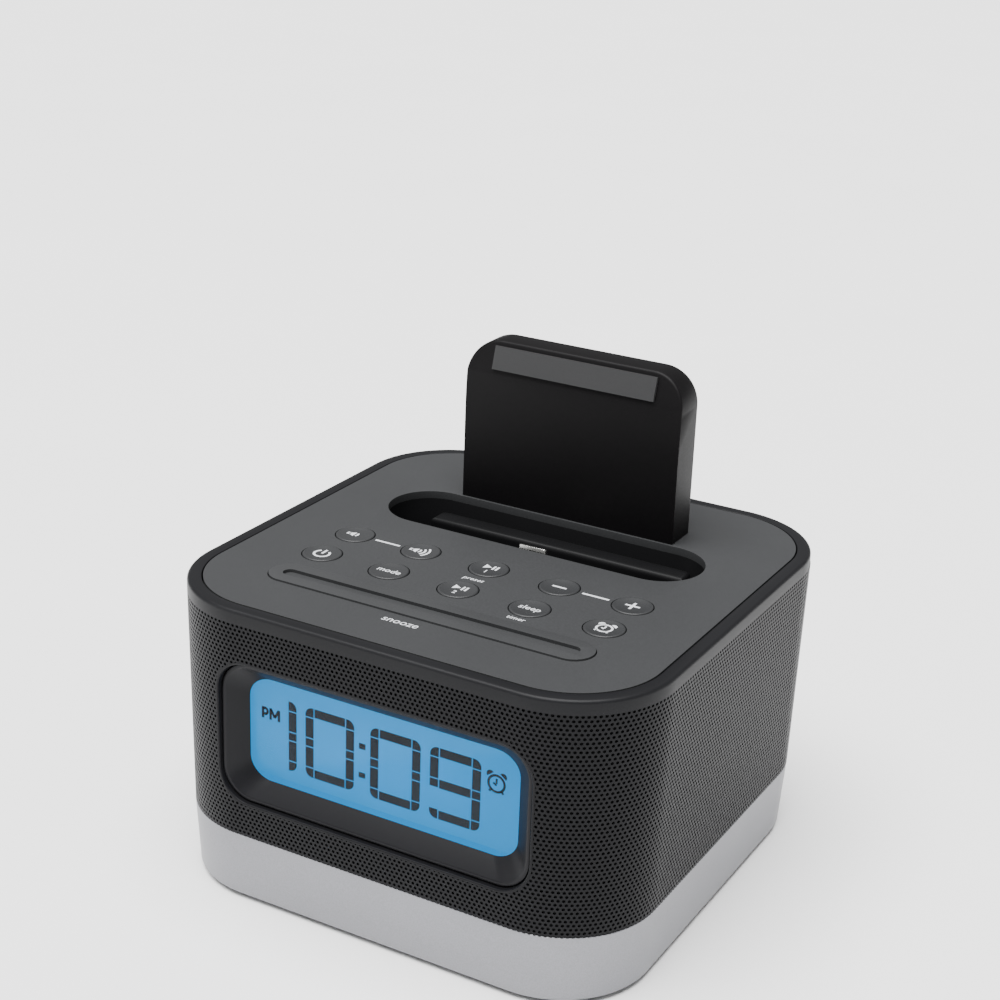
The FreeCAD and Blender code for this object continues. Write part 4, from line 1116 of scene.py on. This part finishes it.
# upright support behind the phone, its front face leaning back above a bend
def makePhoneRest():
    low, high = spanOf("phone_rest")
    bendLevel = low.z + rest["bend"]
    bm = box(low.x, high.x, low.y, high.y, low.z, high.z)
    topEdges = [e for e in bm.edges if atLevel(e, high.z)
                and abs(e.verts[0].co.x - e.verts[1].co.x) < 1e-4]
    bevelEdges(bm, topEdges, rest["corner"], 14)
    bmesh.ops.bisect_plane(bm, geom=bm.verts[:] + bm.edges[:] + bm.faces[:],
                           plane_co=(0, 0, bendLevel), plane_no=(0, 0, 1), dist=1e-5)
    slope = rest["lean"] / (high.z - bendLevel)
    for v in bm.verts:
        if v.co.z > bendLevel and v.co.y < low.y + 0.1:
            v.co.y += (v.co.z - bendLevel) * slope
    softenEdges(bm, rest["edge"], lambda e: atLevel(e, high.y, 1)
                and not atLevel(e, low.z) and sharp(e), 5)
    softenEdges(bm, rest["frontEdge"], lambda e: sharp(e, 50)
                and not any(abs(v.co.z - low.z) < 1e-3 for v in e.verts), 3)
    finishNode("phone_rest", bm, "restBlack")


makeDockCradle()
makeConnector()
makePhoneRest()
print("dock made")

rear = {"wall": 1.0, "start": 36.5, "edge": 0.25, "socketZ": 27.1, "powerX": 26.0,
        "powerHole": 3.8, "audioX": 12.0, "audioHole": 2.8, "glandX": -17.0, "glandHole": 3.0,
        "usbX": -3.0, "usbWidth": 14.5, "usbHeight": 7.0, "knobX": -28.0, "knobWidth": 7.6,
        "knobHeight": 3.0, "cutFrom": 40, "cutTo": 70}


# cutter that runs out through the back wall
def backwardHole(x, z, radius):
    bm = cylinder(radius, rear["cutFrom"], rear["cutTo"], 32)
    turnAll(bm, -90, "X")
    return shiftAll(bm, (x, 0, z))


# back of the case: the outline's rear part, with an opening for each socket
def makeRearCover():
    size = rear
    half = outline["grilleHalf"]
    bm = roundedPrism(half * 2, half * 2, outline["grilleCorner"], bandHigh, rimLow,
                      steps=outline["cornerSteps"])
    growTop(bm, rimLow, outline["rimHalf"] / half)
    hollow(bm, size["wall"])
    reach = size["cutTo"]
    cutters = [box(-reach, reach, -reach, size["start"], bandHigh - past, rimLow + past)]
    for x, radius in ((size["powerX"], size["powerHole"]), (size["audioX"], size["audioHole"]),
                      (size["glandX"], size["glandHole"])):
        cutters.append(backwardHole(x, size["socketZ"], radius))
    for x, width, tall in ((size["usbX"], size["usbWidth"], size["usbHeight"]),
                           (size["knobX"], size["knobWidth"], size["knobHeight"])):
        cutters.append(box(x - width / 2, x + width / 2, size["cutFrom"], reach,
                           size["socketZ"] - tall / 2, size["socketZ"] + tall / 2))
    bm = subtract(bm, gather(cutters))
    outer = half - 0.2
    softenEdges(bm, size["edge"], lambda e: sharp(e, 50) and all(
        v.co.y > outer or v.co.y < size["start"] + 0.01 for v in e.verts)
        and not atLevel(e, rimLow) and not atLevel(e, bandHigh), 2)
    finishNode("rear_cover", bm, "blackTexture", angle=20)


feet = {"radius": 5.0, "edge": 0.35, "ring": 3.4, "ringSlope": 0.3, "ringDepth": 0.25}


# four feet, each with a shallow dish in its underside
def makeFeet():
    low, high = spanOf("rubber_feet")
    radius, edge, dish = feet["radius"], feet["edge"], low.z + feet["ringDepth"]
    discs = [turned([(0, dish), (feet["ring"] - feet["ringSlope"], dish), (feet["ring"], low.z),
                     (radius - edge, low.z), (radius - edge * 0.3, low.z + edge * 0.3),
                     (radius, low.z + edge), (radius, high.z), (0, high.z)], 40, at)
             for at in ((x, y) for x in (low.x + radius, high.x - radius)
                        for y in (low.y + radius, high.y - radius))]
    finishNode("rubber_feet", gather(discs), "rubberBlack")


screws = {"spread": 42.5, "head": 2.8, "shank": 1.4, "headHeight": 1.8, "cross": 0.55,
          "crossLong": 2.6, "crossDepth": 1.0, "dome": 0.3, "tip": 1.0}


# four screws seen from below, each with a cross recess in its head
def makeScrews():
    size = screws
    low, high = levelsOf("case_screws")
    parts = []
    long, short = size["crossLong"] / 2, size["cross"] / 2
    recess, neck = low + size["crossDepth"], low + size["headHeight"]
    for x, y in fourCorners(size["spread"], size["spread"]):
        screw = turned([(0, low), (size["head"] - size["dome"] * 2, low),
                        (size["head"], low + size["dome"] * 2), (size["head"], neck),
                        (size["shank"], neck), (size["shank"], high - size["tip"]), (0, high)],
                       32)
        bmesh.ops.recalc_face_normals(screw, faces=screw.faces)
        for across, along in ((long, short), (short, long)):
            screw = subtract(screw, box(-across, across, -along, along, low - past, recess))
        parts.append(shiftAll(screw, (x, y, 0)))
    finishNode("case_screws", gather(parts), "platedSteel")


under = {"half": 51.3, "corner": 18.65, "thick": 3.0, "edge": 0.4, "bayHalf": 18.0,
         "bayFront": -23.0, "bayBack": 7.0, "sink": 3.0, "sinkDepth": 2.0, "screwHole": 1.6,
         "footHole": 5.0, "footDepth": 0.5, "footSpread": 35.0, "postX": 30.0, "postY": 34.0,
         "postRadius": 3.0, "postStart": 2.0, "postTop": 20.0}


# base plate with the battery bay, sunk screw holes, foot seats and four posts above it
def makeBottomCover():
    size = under
    low = spanOf("bottom_cover")[0].z
    bm = roundedPrism(size["half"] * 2, size["half"] * 2, size["corner"], low,
                      low + size["thick"], steps=24)
    start, end = low - past, low + size["thick"] + past
    cutters = [box(-size["bayHalf"], size["bayHalf"], size["bayFront"], size["bayBack"],
                   start, end)]
    spread = screws["spread"]
    sunk = low + size["sinkDepth"]
    for at, footAt in zip(fourCorners(spread, spread),
                          fourCorners(size["footSpread"], size["footSpread"])):
        cutters.append(turned([(0, start), (size["sink"], start), (size["sink"], sunk),
                               (size["screwHole"], sunk), (size["screwHole"], end), (0, end)],
                              32, at))
        cutters.append(cylinder(size["footHole"], start, low + size["footDepth"], 40, footAt))
    bm = subtract(bm, gather(cutters))
    softenLevel(bm, size["edge"], low, 2)
    posts = [cylinder(size["postRadius"], low + size["postStart"], size["postTop"], 24, at)
             for at in fourCorners(size["postX"], size["postY"])]
    finishNode("bottom_cover", gather([bm] + posts), "blackTexture", angle=14)


door = {"half": 17.7, "front": -22.7, "hingeY": 5.7, "hingeZ": 2.2, "thick": 2.0, "pin": 0.6,
        "pinHalf": 19.0, "edge": 0.25, "grips": 4, "gripStart": 1.0, "grip": 0.5,
        "gripHalf": 6.0, "gripPitch": 1.2, "gripDepth": 0.35}


# door over the coin cell, with a row of grip grooves near its free edge
def makeBatteryDoor():
    size = door
    low = size["hingeZ"] - size["thick"] / 2
    plateBody = box(-size["half"], size["half"], size["front"], size["hingeY"], low,
                    low + size["thick"])
    starts = [size["front"] + step * size["gripPitch"] + size["gripStart"]
              for step in range(size["grips"])]
    cuts = [box(-size["gripHalf"], size["gripHalf"], start, start + size["grip"], low - past,
                low + size["gripDepth"]) for start in starts]
    plateBody = subtract(plateBody, gather(cuts))
    softenEdges(plateBody, size["edge"], lambda e: sharp(e) and max(
        abs(v.co.x) for v in e.verts) > size["half"] - 0.1, 2)
    barrel = crossRod(size["thick"] / 2, size["half"], size["hingeY"], size["hingeZ"], 28)
    pin = crossRod(size["pin"], size["pinHalf"], size["hingeY"], size["hingeZ"])
    finishNode("battery_door", gather([plateBody, barrel, pin]), "blackTexture",
               "battery_door")


knob = {"edge": 0.08, "grooves": 3, "grooveWidth": 0.35, "groovePitch": 0.85,
        "grooveDepth": 0.25}


def makeSwitchKnob():
    low, high = spanOf("switch_knob")
    middle = (low + high) / 2
    bm = box(low.x, high.x, low.y, high.y, low.z, high.z)
    cuts = []
    for step in range(knob["grooves"]):
        x = middle.x + (step - (knob["grooves"] - 1) / 2) * knob["groovePitch"]
        cuts.append(box(x - knob["grooveWidth"] / 2, x + knob["grooveWidth"] / 2,
                        high.y - knob["grooveDepth"], high.y + past, low.z - past,
                        high.z + past))
    bm = subtract(bm, gather(cuts))
    softenEdges(bm, knob["edge"], sharp, 2)
    finishNode("switch_knob", bm, "mouldedBlack", "switch_knob")


makeRearCover()
makeFeet()
makeScrews()
makeBottomCover()
makeBatteryDoor()
makeSwitchKnob()
print("rear and underside made")

# the rest are carried over from the solid model, each with its own finish
cadLooks = {
    "mouldedBlack": ["main_chip", "capacitors", "tact_switches", "slide_switch", "power_jack",
                     "audio_jack", "chassis", "battery_holder"],
    "boardGreen": ["main_board", "button_board", "display_board"],
    "rubberBlack": ["display_ribbon", "antenna_gland", "rest_pad"],
    "tinnedSteel": ["tuner_can", "left_speaker_frame", "right_speaker_frame"],
    "platedSteel": ["usb_port", "backup_battery"],
    "springBrass": ["battery_contacts"],
    "paperCone": ["left_speaker_cone", "right_speaker_cone"],
    "ferrite": ["left_speaker_magnet", "right_speaker_magnet"],
    "diffuserWhite": ["backlight"],
    "displayBlue": ["lcd_panel"],
}
for look, nodeNames in cadLooks.items():
    for nodeName in nodeNames:
        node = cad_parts[nodeName]
        node.data.materials.clear()
        node.data.materials.append(madeMaterials[look])
print("carried-over pieces finished:", sum(len(names) for names in cadLooks.values()))


# places here are in metres
stage = {"floorSize": 3.0, "floorPale": 0.92, "floorSpread": 0.02, "floorRoughness": 0.6,
         "worldStrength": 0.35, "sunStrength": 9.5, "sunAngle": 55,
         "sunPlace": (-0.05, -0.2, 1.0), "aim": (0, 0, 0.04)}
lights = [
    {"name": "frontLeft", "place": (-0.7, -0.6, 0.35), "size": 0.5, "power": 1.5},
    {"name": "right", "place": (0.85, 0.3, 0.3), "size": 0.5, "power": 0.5},
]


def makeFloor():
    bm = bmesh.new()
    bmesh.ops.create_grid(bm, x_segments=8, y_segments=8, size=stage["floorSize"])
    data = bpy.data.meshes.new("floor")
    bm.to_mesh(data)
    bm.free()
    tree, shader = startMaterial("floorWhite")
    noise = objectNoise(tree, 0.01)
    pale, spread = stage["floorPale"], stage["floorSpread"]
    color = ramp(tree, noise.outputs["Fac"], [(0.3, (pale,) * 3), (0.7, (pale + spread,) * 3)])
    tree.links.new(color.outputs["Color"], shader.inputs["Base Color"])
    setInputs(shader, Roughness=stage["floorRoughness"])
    data.materials.append(madeMaterials["floorWhite"])
    floor = addObject("floor", data)


def makeSun():
    data = bpy.data.lights.new("sun", "SUN")
    data.energy = stage["sunStrength"]
    data.angle = math.radians(stage["sunAngle"])
    lamp = addObject("sun", data)
    aim = -Vector(stage["sunPlace"])
    lamp.matrix_world = aim.to_track_quat("-Z", "Y").to_matrix().to_4x4()


def makeLights():
    for look in lights:
        data = bpy.data.lights.new(look["name"], "AREA")
        data.size = look["size"]
        data.energy = look["power"]
        lamp = addObject(look["name"], data)
        place = Vector(look["place"])
        aim = (Vector(stage["aim"]) - place).to_track_quat("-Z", "Y").to_matrix().to_4x4()
        lamp.matrix_world = Matrix.Translation(place) @ aim
    world = bpy.data.worlds.new("studio")
    world.use_nodes = True
    setInputs(world.node_tree.nodes["Background"], Color=(1, 1, 1, 1),
              Strength=stage["worldStrength"])
    bpy.context.scene.world = world


makeFloor()
makeSun()
makeLights()
print("stage made")
